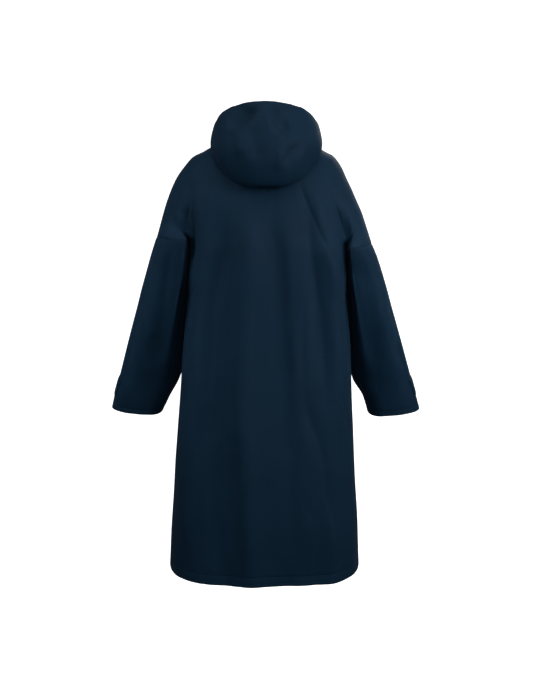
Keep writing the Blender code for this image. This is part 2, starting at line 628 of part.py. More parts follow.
def add_cuff_tab(side, points, normals, material, collection):
    """The tightening tab: a strip of the sleeve's own points, moved out past the seam gap."""
    outer = np.empty((len(CUFF_TAB_ROWS), len(CUFF_TAB_COLUMNS), 3))
    inner = outer.copy()
    for row, sleeve_row in enumerate(CUFF_TAB_ROWS):
        for column, sleeve_column in enumerate(CUFF_TAB_COLUMNS):
            place = grid_at(points, sleeve_row, sleeve_column)
            away = unit(grid_at(normals, sleeve_row, sleeve_column))
            inner[row, column] = place + away * SEAM_GAP
            outer[row, column] = place + away * (SEAM_GAP + CUFF_TAB_WALL)
    add_wall("cuff_tab_" + SIDE_NAMES[side], outer, inner, material, collection)


def hood_grid(side):
    around = np.array(HOOD_COLUMNS, float)[None, :]
    up = np.array(HOOD_ROWS, float)[:, None]

    def hood(rows, places):
        return hood_point(side, places, rows)

    points = hood(up, around)
    normals = face_directions(hood, up, around, (0, LIP_STATION), (0, 180), step=1e-3)
    # The outer face points down under the roll and up over the top: it is on one side of every column.
    if np.mean(normals[HOOD_ROWS.index(TOP_STATION - 1), :, 0]) * side < 0:
        normals = -normals
    normals[0] = neck_directions(points[0])
    normals[:, 0, 0] = 0
    normals[:, -1, 0] = 0
    normals = unit(normals)
    hollows = HOOD_HOLLOWS_LEFT if side == LEFT else HOOD_HOLLOWS_RIGHT
    depth = hollow_depth(hollows, around, up) * smooth(around / HOOD_SEAM_FADING)
    points = points + normals * depth[..., None]
    return points, points - WALL * normals


def add_hood(side, material, collection):
    outer, inner = hood_grid(side)
    add_wall("hood_" + SIDE_NAMES[side], outer, inner, material, collection)
    return outer, inner


def zip_edge(rows):
    """The tape's near edge, far edge and inward direction, from (outer, inner) pairs at a front edge."""
    edge = []
    for (outer, inner), (_, inner_beside) in rows:
        share = (TAPE_HALF_WIDTH - abs(inner[0])) / (abs(inner_beside[0]) - abs(inner[0]))
        far = inner + (inner_beside - inner) * min(share, 1.0)
        inward = unit((inner - outer) * np.array([0, 1, 1]))
        edge.append((inner, far, inward))
    return edge


def add_zip(fronts, hoods, material, collection):
    """The zip's strip, inside both fronts and the front edges of the hood. Returns its outer face."""
    columns = []
    for side in (LEFT, RIGHT):
        outer, inner = fronts[side]
        rows = [[(outer[row, c], inner[row, c]) for c in (0, 1)] for row in range(len(outer) - 1, -1, -1)]
        outer, inner = hoods[side]
        for row in range(1, HOOD_ROWS.index(TOP_STATION) + 1):
            rows.append([(outer[row, c], inner[row, c]) for c in (-1, -2)])
        edge = zip_edge(rows)
        pair = [[(far, inward) for _, far, inward in edge], [(near, inward) for near, _, inward in edge]]
        columns.extend(pair if side == LEFT else reversed(pair))
    face = np.array([[place + inward * SEAM_GAP for place, inward in column] for column in columns])
    depth = SEAM_GAP + TAPE_WALL
    under = np.array([[place + inward * depth for place, inward in column] for column in columns])
    add_wall("zip", face, under, material, collection)
    return face


def add_shape(name, shape, material, collection):
    mesh = bpy.data.meshes.new(name)
    shape.to_mesh(mesh)
    shape.free()
    mesh.shade_smooth()
    mesh.set_sharp_from_angle(angle=math.radians(40))
    mesh.materials.append(material)
    piece = bpy.data.objects.new(name, mesh)
    collection.objects.link(piece)
    return piece


def add_block(name, size, place, turn, material, collection):
    """A box with rounded edges, turned about X."""
    shape = bmesh.new()
    bmesh.ops.create_cube(shape, size=1.0)
    bmesh.ops.scale(shape, vec=size, verts=shape.verts)
    bmesh.ops.bevel(
        shape, geom=shape.edges, offset=min(size) * BLOCK_ROUNDING, segments=2, profile=0.5, affect="EDGES"
    )
    matrix = Matrix.Translation(place) @ Matrix.Rotation(turn, 4, "X")
    shape.transform(matrix)
    return add_shape(name, shape, material, collection)


def add_rod(name, radius, length, place, material, collection):
    """A round rod along X."""
    shape = bmesh.new()
    bmesh.ops.create_cone(
        shape, cap_ends=True, segments=ROD_SEGMENTS, radius1=radius, radius2=radius, depth=length
    )
    shape.transform(Matrix.Translation(place) @ Matrix.Rotation(math.pi / 2, 4, "Y"))
    return add_shape(name, shape, material, collection)


def combine(target, other, operation, cutters):
    """A Boolean with a helper that goes into the cutters' collection."""
    change = target.modifiers.new(operation.lower(), "BOOLEAN")
    change.operation = operation
    change.solver = "EXACT"
    change.object = other
    other.hide_render = True
    other.display_type = "WIRE"
    cutters.objects.link(other)
    for collection in list(other.users_collection):
        if collection != cutters:
            collection.objects.unlink(other)


def add_slider(face, material, collection, cutters):
    """The slider near the top of the closed zip, with two ears and a pin. Returns the pin's place."""
    track = face[ZIP_TRACK_COLUMN]
    top = np.interp(-SLIDER_DROP + SLIDER_HEIGHT / 2, track[:, 2], track[:, 1])
    bottom = np.interp(-SLIDER_DROP - SLIDER_HEIGHT / 2, track[:, 2], track[:, 1])
    lean = math.atan2(top - bottom, SLIDER_HEIGHT)
    out = np.array([0, math.cos(lean), -math.sin(lean)])
    upward = np.array([0, math.sin(lean), math.cos(lean)])
    base = np.array([0, (top + bottom) / 2, -SLIDER_DROP]) + out * SLIDER_STAND_OFF
    middle = base + out * SLIDER_DEPTH / 2
    size = (SLIDER_WIDTH, SLIDER_DEPTH, SLIDER_HEIGHT)
    slider = add_block("slider", size, middle, -lean, material, collection)
    pin = base + out * (SLIDER_DEPTH + EAR_REACH - EAR_HEIGHT / 2) + upward * PIN_ABOVE_MIDDLE
    ear_length = EAR_REACH + SLIDER_DEPTH / 2
    for side in (LEFT, RIGHT):
        place = base + out * (SLIDER_DEPTH / 2 + ear_length / 2) + upward * PIN_ABOVE_MIDDLE
        place = place + np.array([side * (SLIDER_WIDTH - EAR_THICKNESS) / 2 - side * EAR_INSET, 0, 0])
        size = (EAR_THICKNESS, ear_length, EAR_HEIGHT)
        ear = add_block("ear_" + SIDE_NAMES[side], size, place, -lean, material, collection)
        combine(slider, ear, "UNION", cutters)
    length = SLIDER_WIDTH - 2 * EAR_INSET - EAR_THICKNESS
    rod = add_rod("pin", PIN_RADIUS, length, pin, material, collection)
    combine(slider, rod, "UNION", cutters)
    return pin


def add_pull_tab(pin, material, collection, cutters):
    """The pull tab, hanging from the pin by its eye. Its origin is on the pin's axis."""
    place = pin - np.array([0, 0, TAB_LENGTH / 2])
    tab = add_block("pull_tab", (TAB_WIDTH, TAB_THICKNESS, TAB_LENGTH), place, 0.0, material, collection)
    eye = add_rod("eye", EYE_RADIUS, TAB_WIDTH, pin, material, collection)
    combine(tab, eye, "UNION", cutters)
    bore = add_rod("bore", PIN_RADIUS + EYE_CLEARANCE, 2 * TAB_WIDTH, pin, material, collection)
    combine(tab, bore, "DIFFERENCE", cutters)
    tab.data.transform(Matrix.Translation(-pin))
    tab.matrix_world = Matrix.Translation(pin)


def make_material(name, roughness, metallic=0.0):
    material = bpy.data.materials.new(name)
    material.use_nodes = True
    shader = material.node_tree.nodes["Principled BSDF"]
    shader.inputs["Base Color"].default_value = COLOURS[name]
    shader.inputs["Roughness"].default_value = roughness
    shader.inputs["Metallic"].default_value = metallic
    return material


def make_collection(name):
    collection = bpy.data.collections.new(name)
    bpy.context.scene.collection.children.link(collection)
    return collection


def main():
    for old in list(bpy.data.objects):
        bpy.data.objects.remove(old, do_unlink=True)
    robe = make_collection(COLLECTION)
    shell = make_material("shell", 0.7)
    tape = make_material("tape", 0.8)
    metal = make_material("metal", 0.4, metallic=1.0)
    add_back(shell, robe)
    fronts = {side: add_front(side, shell, robe) for side in (LEFT, RIGHT)}
    hoods = {side: add_hood(side, shell, robe) for side in (LEFT, RIGHT)}
    for side in (LEFT, RIGHT):
        points, normals = add_sleeve(side, shell, robe)
        add_cuff_tab(side, points, normals, shell, robe)
    face = add_zip(fronts, hoods, tape, robe)
    cutters = make_collection(COLLECTION + "_cutters")
    cutters.hide_render = True
    pin = add_slider(face, metal, robe, cutters)
    add_pull_tab(pin, metal, robe, cutters)


main()
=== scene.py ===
"""The looks of the hooded changing robe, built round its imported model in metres.

The cloth repeats the named sizes and forms of the robe's solids on finer grids, with its creases,
seams and stitching added. The back of the robe faces -Y and the wearer's left is -X. Heights are
given as drops below the nape.
"""

import math
from collections import namedtuple
from functools import partial

import bmesh
import bpy
import numpy as np
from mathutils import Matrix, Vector


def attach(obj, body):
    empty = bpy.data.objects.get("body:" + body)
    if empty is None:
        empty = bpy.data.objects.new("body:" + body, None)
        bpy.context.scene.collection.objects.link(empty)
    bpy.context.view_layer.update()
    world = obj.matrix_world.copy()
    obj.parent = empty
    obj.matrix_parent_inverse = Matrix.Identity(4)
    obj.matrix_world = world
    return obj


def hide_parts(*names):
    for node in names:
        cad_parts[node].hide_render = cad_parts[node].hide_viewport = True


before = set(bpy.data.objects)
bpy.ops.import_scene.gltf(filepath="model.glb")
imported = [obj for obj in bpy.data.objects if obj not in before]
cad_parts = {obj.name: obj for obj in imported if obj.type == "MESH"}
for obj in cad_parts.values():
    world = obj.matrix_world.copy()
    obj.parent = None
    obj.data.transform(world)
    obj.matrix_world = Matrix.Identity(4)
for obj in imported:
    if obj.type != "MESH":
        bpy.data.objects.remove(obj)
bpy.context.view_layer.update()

LEFT = -1
RIGHT = 1
BACK = -1
FRONT = 1
SIDE_NAMES = {LEFT: "left", RIGHT: "right"}
HALF_NAMES = {BACK: "back", FRONT: "front"}

# Cloth and seams, as the solids have them, but the shell is drawn thinner than the solid wall, and
# its seams are all but closed, so that no light comes through them.
WALL = 0.0022
SHELL = 0.0013
SEAM_GAP = 0.000004
# How square a section is, where 2 is an ellipse. The back of the body hangs flatter than the rest.
SQUARENESS = 2.25
BACK_SQUARENESS = 3.2
ZIP_OPENING_HALF = 0.005
NECK_GAP = 0.00004
NECK_LEVEL = -0.015
ARMHOLE_LEVEL = 0.290
HEM_LEVEL = 1.149
CUFF_LEVEL = 0.7405
PARTING_ANGLE = math.radians(46)
SEAM_EASE = 0.015
HEM_CURVE = 1.1

# Where folds, creases and the bridge over the cleft beside the arm fade out, as shares of a width
# or of a length. At the neck this is in metres, and on the hood in degrees and in stations.
FOLD_FADING = 0.2
SIDE_FADING = 0.15
ZIP_FADING = 0.2
CREASE_FADING = 0.25
CLEFT_SHARE = 0.28
CLEFT_FADING = 0.30
NECK_FADING = 0.05
HOOD_SEAM_FADING = 12
HOOD_CREASES_END = 100
HOOD_CREASES_FADING = 25
HOOD_LIP_FADING = 0.4
HOOD_NECK_FADING = 0.5

# The points that the body's and the arms' cloth face away from, as drops, and how far the bottom of
# the fold between them is turned to the back or the front.
BODY_MIDDLE_DROP = 0.25
ARM_MIDDLE_BELOW = 0.03
FOLD_BOTTOM_BIAS = 0.1

# Ripples are longer along the cloth than across it. Each kind of piece has its own random waves.
RIPPLE_WAVES = 7
RIPPLE_LENGTHS = (0.03, 0.11)
RIPPLE_SIZE = 0.0035
RIPPLE_ACROSS = 1.5
RIPPLE_ALONG = 0.6
BODY_SEED = 11
SLEEVE_SEED = 23
HOOD_SEED = 31

# Seams and rows of stitches, pressed into the cloth.
SEAM_DEPTH = 0.0009
SEAM_REACH = 0.0022
STITCH_GROOVE = 0.0007
STITCH_GROOVE_REACH = 0.0016
HEM_ALLOWANCE = 0.023
CUFF_ALLOWANCE = 0.012
ARMHOLE_ALLOWANCE = 0.006

# One stitch: three rings round a thread, each a share of its length, a lift and a size in radii.
STITCH_PITCH = 0.0042
STITCH_LENGTH = 0.0030
STITCH_RADIUS = 0.00030
STITCH_SIDES = 5
STITCH_RINGS = ((0.0, 0.0, 0.6), (0.5, 0.8, 1.0), (1.0, 0.0, 0.6))

# The cuff tabs: levels, places round the sleeve, rows and columns, thickness, the metres of weave
# along a tab and across half of it, how much thinner its edges are, and where its ends round off.
CUFF_TAB_LEVELS = (0.6600, 0.7050)
CUFF_TAB_PLACES = (0.875, 1.45)
CUFF_TAB_GRID = (9, 26)
CUFF_TAB_WALL = 0.0026
CUFF_TAB_WEAVE = (0.11, 0.011)
CUFF_TAB_THINNING = 0.35
CUFF_TAB_START = 1 / 12
CUFF_TAB_END = 0.06

# The zip: the columns of its tape in towards the middle, the columns of the cloth that it follows,
# and the outline of one tooth with the height and size of its three rings.
TAPE_WALL = 0.0012
TAPE_OFFSETS = (0.0125, 0.0105, 0.0080, 0.0055, 0.0030, 0.0012)
FRONT_EDGE_COLUMNS = 8
TEETH_PITCH = 0.0027
TEETH_START = 0.006
TEETH_END = 0.004
TOOTH_SIZE = (0.0019, 0.0026)
TOOTH_SHIFT = 0.0009
TOOTH_RINGS = ((0.0001, 1.0), (0.0012, 1.0), (0.0016, 0.8))
TOOTH_FRONT = ((-0.2, -0.50), (0.75, -0.32), (1, 0.0), (0.75, 0.32), (-0.2, 0.50))
TOOTH_OUTLINE = ((-1, -0.42), *TOOTH_FRONT, (-1, 0.42))

# How the weave is laid on the cloth: metres for a width of the grid, for a degree round the hood
# and for a station up it. A body's half is a little narrower than a quarter of a circle.
BODY_CLOTH_WIDTH = 0.33
SLEEVE_CLOTH_WIDTH = 0.25
SIDE_CLOTH_SHARE = 0.9
HOOD_SEAM_SCALE = 0.0028
HOOD_STATION_SCALE = 0.07
SHARP_EDGE = math.radians(60)


def curve(start, end, start_slope, end_slope, along):
    """A value along the smooth curve between two values with given slopes."""
    return (
        start * (1 + 2 * along) * (1 - along) ** 2
        + start_slope * along * (1 - along) ** 2
        + end * along**2 * (3 - 2 * along)
        + end_slope * along**2 * (along - 1)
    )


class Table:
    """Rows of named columns, read at any value of the first column along smooth curves.

    They are written in millimetres and in thousandths, except for angles round the neck.
    """

    def __init__(self, names, *rows):
        self.names = names.split()
        self.values = np.array(rows, float)
        self.values[:, [name != "around" for name in self.names]] /= 1000
        self.keys = self.values[:, 0]
        slopes = np.diff(self.values, axis=0) / np.diff(self.keys)[:, None]
        before = slopes[:-1]
        after = slopes[1:]
        same_way = before * after > 0
        total = np.where(same_way, before + after, 1.0)
        middle = np.where(same_way, 2 * before * after / total, 0.0)
        self.tangents = np.vstack([slopes[:1], middle, slopes[-1:]])

    def at(self, key, name, side=None):
        column = self.names.index(name if side is None else name + "_" + SIDE_NAMES[side])
        key = np.clip(np.asarray(key, float), self.keys[0], self.keys[-1])
        row = np.clip(np.searchsorted(self.keys, key, side="right") - 1, 0, len(self.keys) - 2)
        step = self.keys[row + 1] - self.keys[row]
        values = self.values[:, column]
        slopes = self.tangents[:, column]
        return curve(
            values[row],
            values[row + 1],
            slopes[row] * step,
            slopes[row + 1] * step,
            (key - self.keys[row]) / step,
        )


# The body: half widths at the side seams, drops of the side lines, depth and drop at the centre
# lines.
BODY = Table(
    "level half_left half_right side_left side_right back front back_drop front_drop",
    (  -15,    74,    74,    0,    0,  75,  80,    0,   75),
    (   12,   118,   115,   20,   20, 100,  98,   35,  100),
    (   32,   152,   146,   42,   42, 122, 112,   66,  125),
    (   43,   170,   163,   58,   58, 138, 124,   92,  150),
    (   64,   182,   176,   85,   85, 150, 133,  118,  172),
    (   96,   191,   188,  118,  118, 160, 142,  150,  200),
    (  149,   198,   203,  165,  168, 171, 152,  195,  235),
    (213.5, 200.5, 213.5,  222,  235, 178, 158,  250,  275),
    (  290, 201.5,   216,  280,  305, 182, 163,  310,  330),
    (  360, 205.5, 218.5,  352,  364, 182, 165,  368,  372),
    (  440, 212.7, 222.5,  438,  441, 180, 165,  443,  443),
    (  570,   224, 230.5,  570,  570, 179, 166,  571,  571),
    (  700, 232.5, 234.7,  700,  700, 181, 169,  701,  701),
    (  880, 245.5, 241.7,  880,  880, 188, 177,  883,  882),
    ( 1040,   255,   251, 1034, 1034, 195, 185, 1048, 1045),
    ( 1149, 260.5, 254.5, 1130, 1132, 200, 191, 1166, 1160),
)

# The yoke over the shoulders: the ridge from the neck to the top of the armhole, how far the fold
# between body and arm is formed, and the depth of the arm behind and in front.
YOKE = Table(
    "level ridge_left ridge_right drop_left drop_right fold_left fold_right arm_back arm_front",
    (  -15,    80,    80, -15,   -15,    0,    0,  70,  70),
    (   12,   130,   126,  12,    12,    0,    0,  85,  85),
    (   32,   168, 161.5,  32,    32,    0,    0,  95,  95),
    (   43,   190, 182.5,  43,    43,    0,    0, 102, 102),
    (   64, 210.7, 198.8,  64,    64,    0,    0, 108, 110),
    (   96,   235,   215,  96,    96,   20,   10, 113, 118),
    (  149, 259.5, 239.5, 149,   149,   90,   80, 119, 128),
    (213.5, 277.5, 264.5, 207, 213.5,  340,  320, 123, 136),
    (  290, 292.5, 286.2, 259,   278, 1000, 1000, 125, 140),
    (  330,   300, 293.8, 286,   303, 1000, 1000, 126, 142),
)

# The bridge: how deep the shell spans the cleft between body and arm, and how softly it joins the
# cloth.
BRIDGE = Table(
    "level depth blend",
    (130,   0,  0),
    (170,  85,  0),
    (190,  96,  6),
    (210, 100, 10),
    (250, 100, 10),
    (262,  82, 12),
    (275,  35, 10),
    (286,   0,  0),
    (290,   0,  0),
)

# The sleeves: x of the inner and outer edges, drop of the inner edge and how much higher the outer
# one lies, how far forward the arm hangs, its depth, where its rear ridge lies, and a ring's lean.
SLEEVE = Table(
    "level inner_left inner_right outer_left outer_right drop_left drop_right rise_left rise_right"
    " forward back front rear lean",
    (  290, 202.1, 216.6, 292.5, 286.2,   280,   305,   21,   27,   0, 125, 140,  60,   0),
    (  325, 205.2, 218.9,   307,   301,   320,   334,   19,   22,   3, 119, 131,  80,  20),
    (  360, 207.6, 220.1,   320, 313.5,   360,   364,   17,   18,  10, 112, 122, 110,  50),
    (  410,   211, 222.3, 335.5, 329.3,   410,   412,   16,   16,  20, 103, 110, 160,  80),
    (  460, 214.5, 223.7, 350.5, 344.5,   460,   460,   15,   15,  30,  94,  98, 230, 120),
    (  560,   220, 226.5,   380, 375.5,   560,   560,   13,   13,  56,  73,  73, 380, 220),
    (  606, 226.2, 231.5,   393, 389.3,   606,   606, 12.5, 12.5,  69,  63,  63, 420, 260),
    (  650,   240, 241.5, 405.5, 402.5,   650,   650,   12,   12,  82,  55,  55, 420, 290),
    (  700,   268, 271.5, 421.5, 418.5,   700,   700,   10,   10,  97,  52,  52, 360, 300),
    (740.5,   288, 285.5, 432.3, 432.4, 740.5, 744.5,  8.5,  8.5, 108,  50,  50, 300, 300),
)

# The hood, lying back: its profile at angles round the neck from the centre back. From the neck
# seam it rolls over, falls to the fold on the back, turns up past its widest place to the top and
# ends at the lip. Each station is a distance out from the neck's axis and a height above the nape.
HOOD_STATIONS = ("roll", "fall", "fold", "wide", "top", "lip")
HOOD = Table(
    "around " + " ".join(name + "_out " + name + "_up" for name in HOOD_STATIONS),
    (  0, 90,  14, 134, -40, 182, -131.5, 208, -35, 160,  84, 118,  56),
    ( 12, 90,  14, 134, -40, 182, -130.5, 208, -35, 160,  84, 119,  55),
    ( 23, 91,  15, 138, -40, 180, -122.5, 205, -34, 159,  82, 120,  53),
    ( 36, 92,  18, 142, -36, 175, -100.5, 196, -31, 155,  75, 120,  50),
    ( 46, 93,  20, 142, -28, 171,    -77, 184, -26, 150,  67, 120,  46),
    ( 57, 94,  23, 138, -16, 164,    -51, 170, -15, 146,  57, 119,  41),
    ( 67, 95,  26, 132,  -5, 156,    -30, 158,  -2, 142,  47, 118,  36),
    ( 78, 96,  29, 126,   4, 148,    -16, 149,   8, 137,  45, 116,  35),
    ( 90, 97,  30, 120,  10, 137,     -6, 140,  15, 130,  45, 113,  34),
    (115, 90,  15, 101,  14, 112,     13, 120,  24, 117,  37, 108,  30),
    (140, 87, -24,  91, -18,  96,    -10, 102,   0, 103,  14,  99,  12),
    (165, 84, -56,  86, -50,  89,    -42,  92, -30,  94, -14,  91, -10),
    (180, 83, -62,  85, -56,  87,    -49,  90, -37,  92, -22,  89, -18),
)
FOLD_STATION = HOOD_STATIONS.index("fold") + 1
TOP_STATION = HOOD_STATIONS.index("top") + 1
LIP_STATION = HOOD_STATIONS.index("lip") + 1
# The hood lies a little towards the wearer's right.
HOOD_SHIFT = 0.0025
HOOD_SHIFT_END = 140
HOOD_SHIFT_FADING = 60

# The largest folds, in millimetres. A place is the body's x at the fold's top end and at its bottom
# end, width is how far its flanks reach, and depth is out of the cloth, so a trough is negative.
Fold = namedtuple("Fold", "place_top place_bottom top bottom width depth")
BACK_FOLDS = (
    ( -41,  -62, 120,  800, 27,  11),
    ( -55,  -28, 660, 1350, 28,  12),
    (  22,   56, 160,  840, 25, -11),
    (  64,   50, 720, 1350, 36,  -9),
    (-104, -156, 140,  900, 27, -10),
    (-140,  -92, 780, 1350, 28,  -6),
    ( 174,  182, 150,  860, 22,   8),
    ( 158,  184, 740, 1350, 24,   8),
    ( 124,  130, 240,  760, 18,  -4),
)
FRONT_FOLDS = (
    ( 136,  115, 140,  900, 27, -11),
    (-131, -125, 160,  800, 27, -10),
    ( 190,  205, 420, 1300, 21, -10),
    (-188, -200, 350, 1300, 21, -11),
    ( 116,  146, 700, 1300, 22,   8),
    (-110, -133, 600, 1300, 22,   8),
)
# On a sleeve, a place runs from 0 at the inner edge, round the back to 1000 at the outer edge, to
# 2000.
SLEEVE_FOLDS = (
    ( 620,  500, 300, 620, 100, -8),
    ( 880,  800, 420, 700,  90, -5),
    (1450, 1400, 320, 660, 110, -8),
)
# Hollows near the top of the hood: angle round the neck, place up the profile, their reach, depth.
Hollow = namedtuple("Hollow", "around up angle_reach up_reach depth")
HOOD_HOLLOWS = {
    LEFT: ((22, 4.75, 12, 0.35, -0.013),),
    RIGHT: ((27, 4.70, 14, 0.45, -0.016), (40, 3.60, 10, 0.50, -0.007)),
}

# Creases beyond the main folds, in millimetres: the widths of the left and right flanks, the
# sharpness, which is 2 for a soft crease and less for a sharper crest, the depth, which is negative
# for a trough, and then the places that the crease runs through, each an x and a drop.
BACK_CREASES = (
    ((32, 34, 1.8, 13), (-44, 110), (-32, 290), (-46, 420), (-60, 550), (-62, 700), (-54, 890),
        (-36, 1240)),
    ((26, 36, 1.8, -15), (-116, 90), (-118, 290), (-138, 420), (-152, 550), (-160, 700),
        (-176, 850), (-176, 1260)),
    ((22, 15, 1.6, -11), (94, 100), (114, 225), (124, 310), (138, 400), (150, 500), (158, 600),
        (160, 760)),
    ((14, 14, 1.6, -4.5), (98, 400), (97, 500), (100, 620), (112, 720)),
    ((18, 18, 1.6, -8), (88, 640), (116, 730), (142, 808), (158, 900), (166, 1020)),
    ((24, 20, 1.6, -7.5), (170, 860), (163, 1000), (140, 1100), (126, 1260)),
    ((16, 20, 1.6, 9), (122, 130), (143, 225), (166, 340), (186, 430), (193, 600), (202, 900)),
    ((12, 12, 1.5, 3), (56, 260), (64, 360), (70, 460), (76, 560), (84, 650)),
    ((26, 26, 1.7, 5), (56, 800), (46, 920), (40, 1240)),
    ((10, 6, 1.2, 2.6), (138, 880), (158, 963), (172, 1025), (188, 1110)),
    ((10, 8, 1.3, 2.2), (124, 750), (142, 849), (158, 945)),
    ((10, 8, 1.3, -2), (92, 900), (110, 963), (130, 995)),
    ((14, 12, 1.4, -4), (-242, 170), (-241, 259), (-260, 359), (-276, 470), (-280, 570)),
    ((14, 30, 1.6, -10), (-207, 360), (-215, 430), (-232, 540), (-245, 630), (-256, 760)),
    ((30, 14, 1.6, -10), (216, 360), (222, 440), (236, 560), (252, 670), (262, 780)),
    ((12, 10, 1.4, 3), (-262, 260), (-276, 346), (-290, 430)),
    ((10, 10, 1.3, 3), (-340, 488), (-322, 508), (-300, 535)),
    ((14, 12, 1.5, 3.5), (322, 430), (342, 495), (356, 560)),
    ((12, 10, 1.4, 3), (366, 600), (380, 630), (392, 660)),
    ((10, 10, 1.2, -5), (180, 112), (196, 145), (203, 185)),
    ((10, 6, 1.2, -5), (84, 105), (104, 155), (121, 199), (153, 277), (175, 340)),
    ((5, 4, 1.2, -12), (-192.5, 110), (-191, 180), (-190.5, 260), (-193, 340)),
    ((10, 10, 1.2, -4.5), (-140, 58), (-161, 78), (-184, 100)),
    ((8, 8, 1.2, -4.5), (124, 64), (137, 80), (146, 100)),
)
FRONT_CREASES = (
    ((22, 20, 1.6, 4.5), (70, 190), (66, 380), (78, 560), (90, 760)),
    ((20, 24, 1.6, -4.5), (110, 130), (124, 260), (140, 420), (160, 640)),
    ((18, 22, 1.5, 4), (-80, 170), (-90, 360), (-84, 600), (-100, 880)),
    ((20, 18, 1.6, -4), (-120, 140), (-136, 300), (-150, 520), (-170, 700)),
    ((12, 10, 1.3, 3), (130, 820), (142, 940), (160, 1090)),
    ((12, 14, 1.3, 3), (-150, 800), (-160, 960), (-176, 1100)),
    ((12, 12, 1.4, -3.5), (-250, 190), (-262, 330), (-282, 480)),
    ((12, 12, 1.4, -3.5), (246, 200), (262, 340), (280, 500)),
    ((10, 12, 1.3, 3), (300, 480), (330, 520), (360, 545)),
    ((10, 12, 1.3, 3), (-300, 500), (-330, 530), (-352, 560)),
)
HOOD_CREASES = (
    ((10, 24, 1.5, -15), (-104, -24), (-80, -32), (-56, -41), (-38, -55), (-28, -78)),
    ((11, 30, 1.5, -19), (20, -92), (21, -60), (28, -34), (44, -16), (64, -14), (82, -26)),
    ((8, 8, 1.3, 6), (4, -80), (8, -50), (16, -22), (34, 0), (58, 10)),
    ((11, 10, 1.4, -11), (92, 18), (76, 38), (60, 56), (52, 80)),
    ((9, 8, 1.3, 8), (46, 40), (37, 66), (28, 96)),
    ((8, 8, 1.3, 6), (-102, -8), (-78, -17), (-52, -26), (-31, -42), (-20, -68)),
    ((16, 16, 1.6, -7), (-22, -20), (-28, 20), (-20, 70)),
    ((14, 14, 1.6, 5), (-60, -10), (-66, 20), (-56, 60)),
)


def smooth(value):
    value = np.clip(value, 0.0, 1.0)
    return value * value * (3 - 2 * value)


def rounded(angle, squareness=SQUARENESS):
    """The two coordinates, 0 to 1, of a rounded rectangle's quarter at an angle from its middle."""
    power = 2 / squareness
    return np.clip(np.sin(angle), 0, 1) ** power, np.clip(np.cos(angle), 0, 1) ** power


def start_angle(half, width, squareness=SQUARENESS):
    """Where a row starts: the centre line behind, and the edge of the zip's opening in front."""
    if half == BACK:
        return np.zeros_like(width)
    return np.arcsin((ZIP_OPENING_HALF / width) ** (squareness / 2))


def shoulder_arc(side, half, level, angle):
    """A row of the yoke as one arc, from the centre line to the ridge."""
    out, along = rounded(angle)
    ridge = YOKE.at(level, "ridge", side)
    drop = YOKE.at(level, "drop", side)
    depth = BODY.at(level, HALF_NAMES[half])
    centre_drop = BODY.at(level, HALF_NAMES[half] + "_drop")
    x = side * ridge * out
    y = half * (SEAM_GAP / 2 + (depth - SEAM_GAP / 2) * along)
    z = -(drop + (centre_drop - drop) * np.cos(angle) ** 2)
    return np.stack(np.broadcast_arrays(x, y, z), axis=-1)


def seam_edge(level):
    """Distance of the body's edge from the side line: a wall inside the fold, then the seam."""
    above = np.clip((ARMHOLE_LEVEL + SEAM_EASE - level) / SEAM_EASE, 0, 1)
    return SEAM_GAP / 2 + WALL * above


def part_from(arc, parted, side, level):
    """The shoulder's arc turned into body and arm as far as the fold between them is formed."""
    share = np.where(level >= ARMHOLE_LEVEL, 1.0, YOKE.at(level, "fold", side))
    return arc + (parted - arc) * np.clip(share, 0, 1)[..., None]


def body_point(side, half, level, across):
    """A point of the body's outer face, from the centre line (0) to the side seam or fold (1)."""
    level, across = np.broadcast_arrays(level, across)
    start = start_angle(half, YOKE.at(level, "ridge", side))
    arc = shoulder_arc(side, half, level, start + (PARTING_ANGLE - start) * across)
    width = BODY.at(level, "half", side)
    squareness = BACK_SQUARENESS if half == BACK else SQUARENESS
    start = start_angle(half, width, squareness)
    angle = start + (math.pi / 2 - start) * across
    out, along = rounded(angle, squareness)
    edge = seam_edge(level)
    depth = BODY.at(level, HALF_NAMES[half])
    side_drop = BODY.at(level, "side", side)
    centre_drop = BODY.at(level, HALF_NAMES[half] + "_drop")
    x = side * width * out
    y = half * (edge + (depth - edge) * along)
    z = -(side_drop + (centre_drop - side_drop) * along**HEM_CURVE)
    return part_from(arc, np.stack([x, y, z], axis=-1), side, level)


def arm_ring(inner, outer, rear, turn):
    """How far out a turn of half a ring lies, and its share of the depth, deepest at its rear."""
    inside = turn <= math.pi / 2
    deep, wide = rounded(np.where(inside, turn, math.pi - turn))
    return np.where(inside, rear - (rear - inner) * wide, rear + (outer - rear) * wide), deep


def arm_point(side, half, level, around):
    """A point of the yoke over the arm, from the fold beside the body (0) to the ridge (1)."""
    level, around = np.broadcast_arrays(level, around)
    arc = shoulder_arc(side, half, level, PARTING_ANGLE + (math.pi / 2 - PARTING_ANGLE) * around)
    inner = BODY.at(level, "half", side)
    outer = YOKE.at(level, "ridge", side)
    rear = inner + (outer - inner) * SLEEVE.at(ARMHOLE_LEVEL, "rear")
    depth = YOKE.at(level, "arm_" + HALF_NAMES[half])
    turn = math.pi * around
    across, deep = arm_ring(inner, outer, rear, turn)
    edge = np.where(turn <= math.pi / 2, seam_edge(level), SEAM_GAP / 2)
    y = half * (edge + (depth - edge) * deep)
    drop = BODY.at(level, "side", side)
    ridge_drop = YOKE.at(level, "drop", side)
    z = -(drop + (ridge_drop - drop) * (1 - np.cos(turn)) / 2)
    return part_from(arc, np.stack([side * across, y, z], axis=-1), side, level)


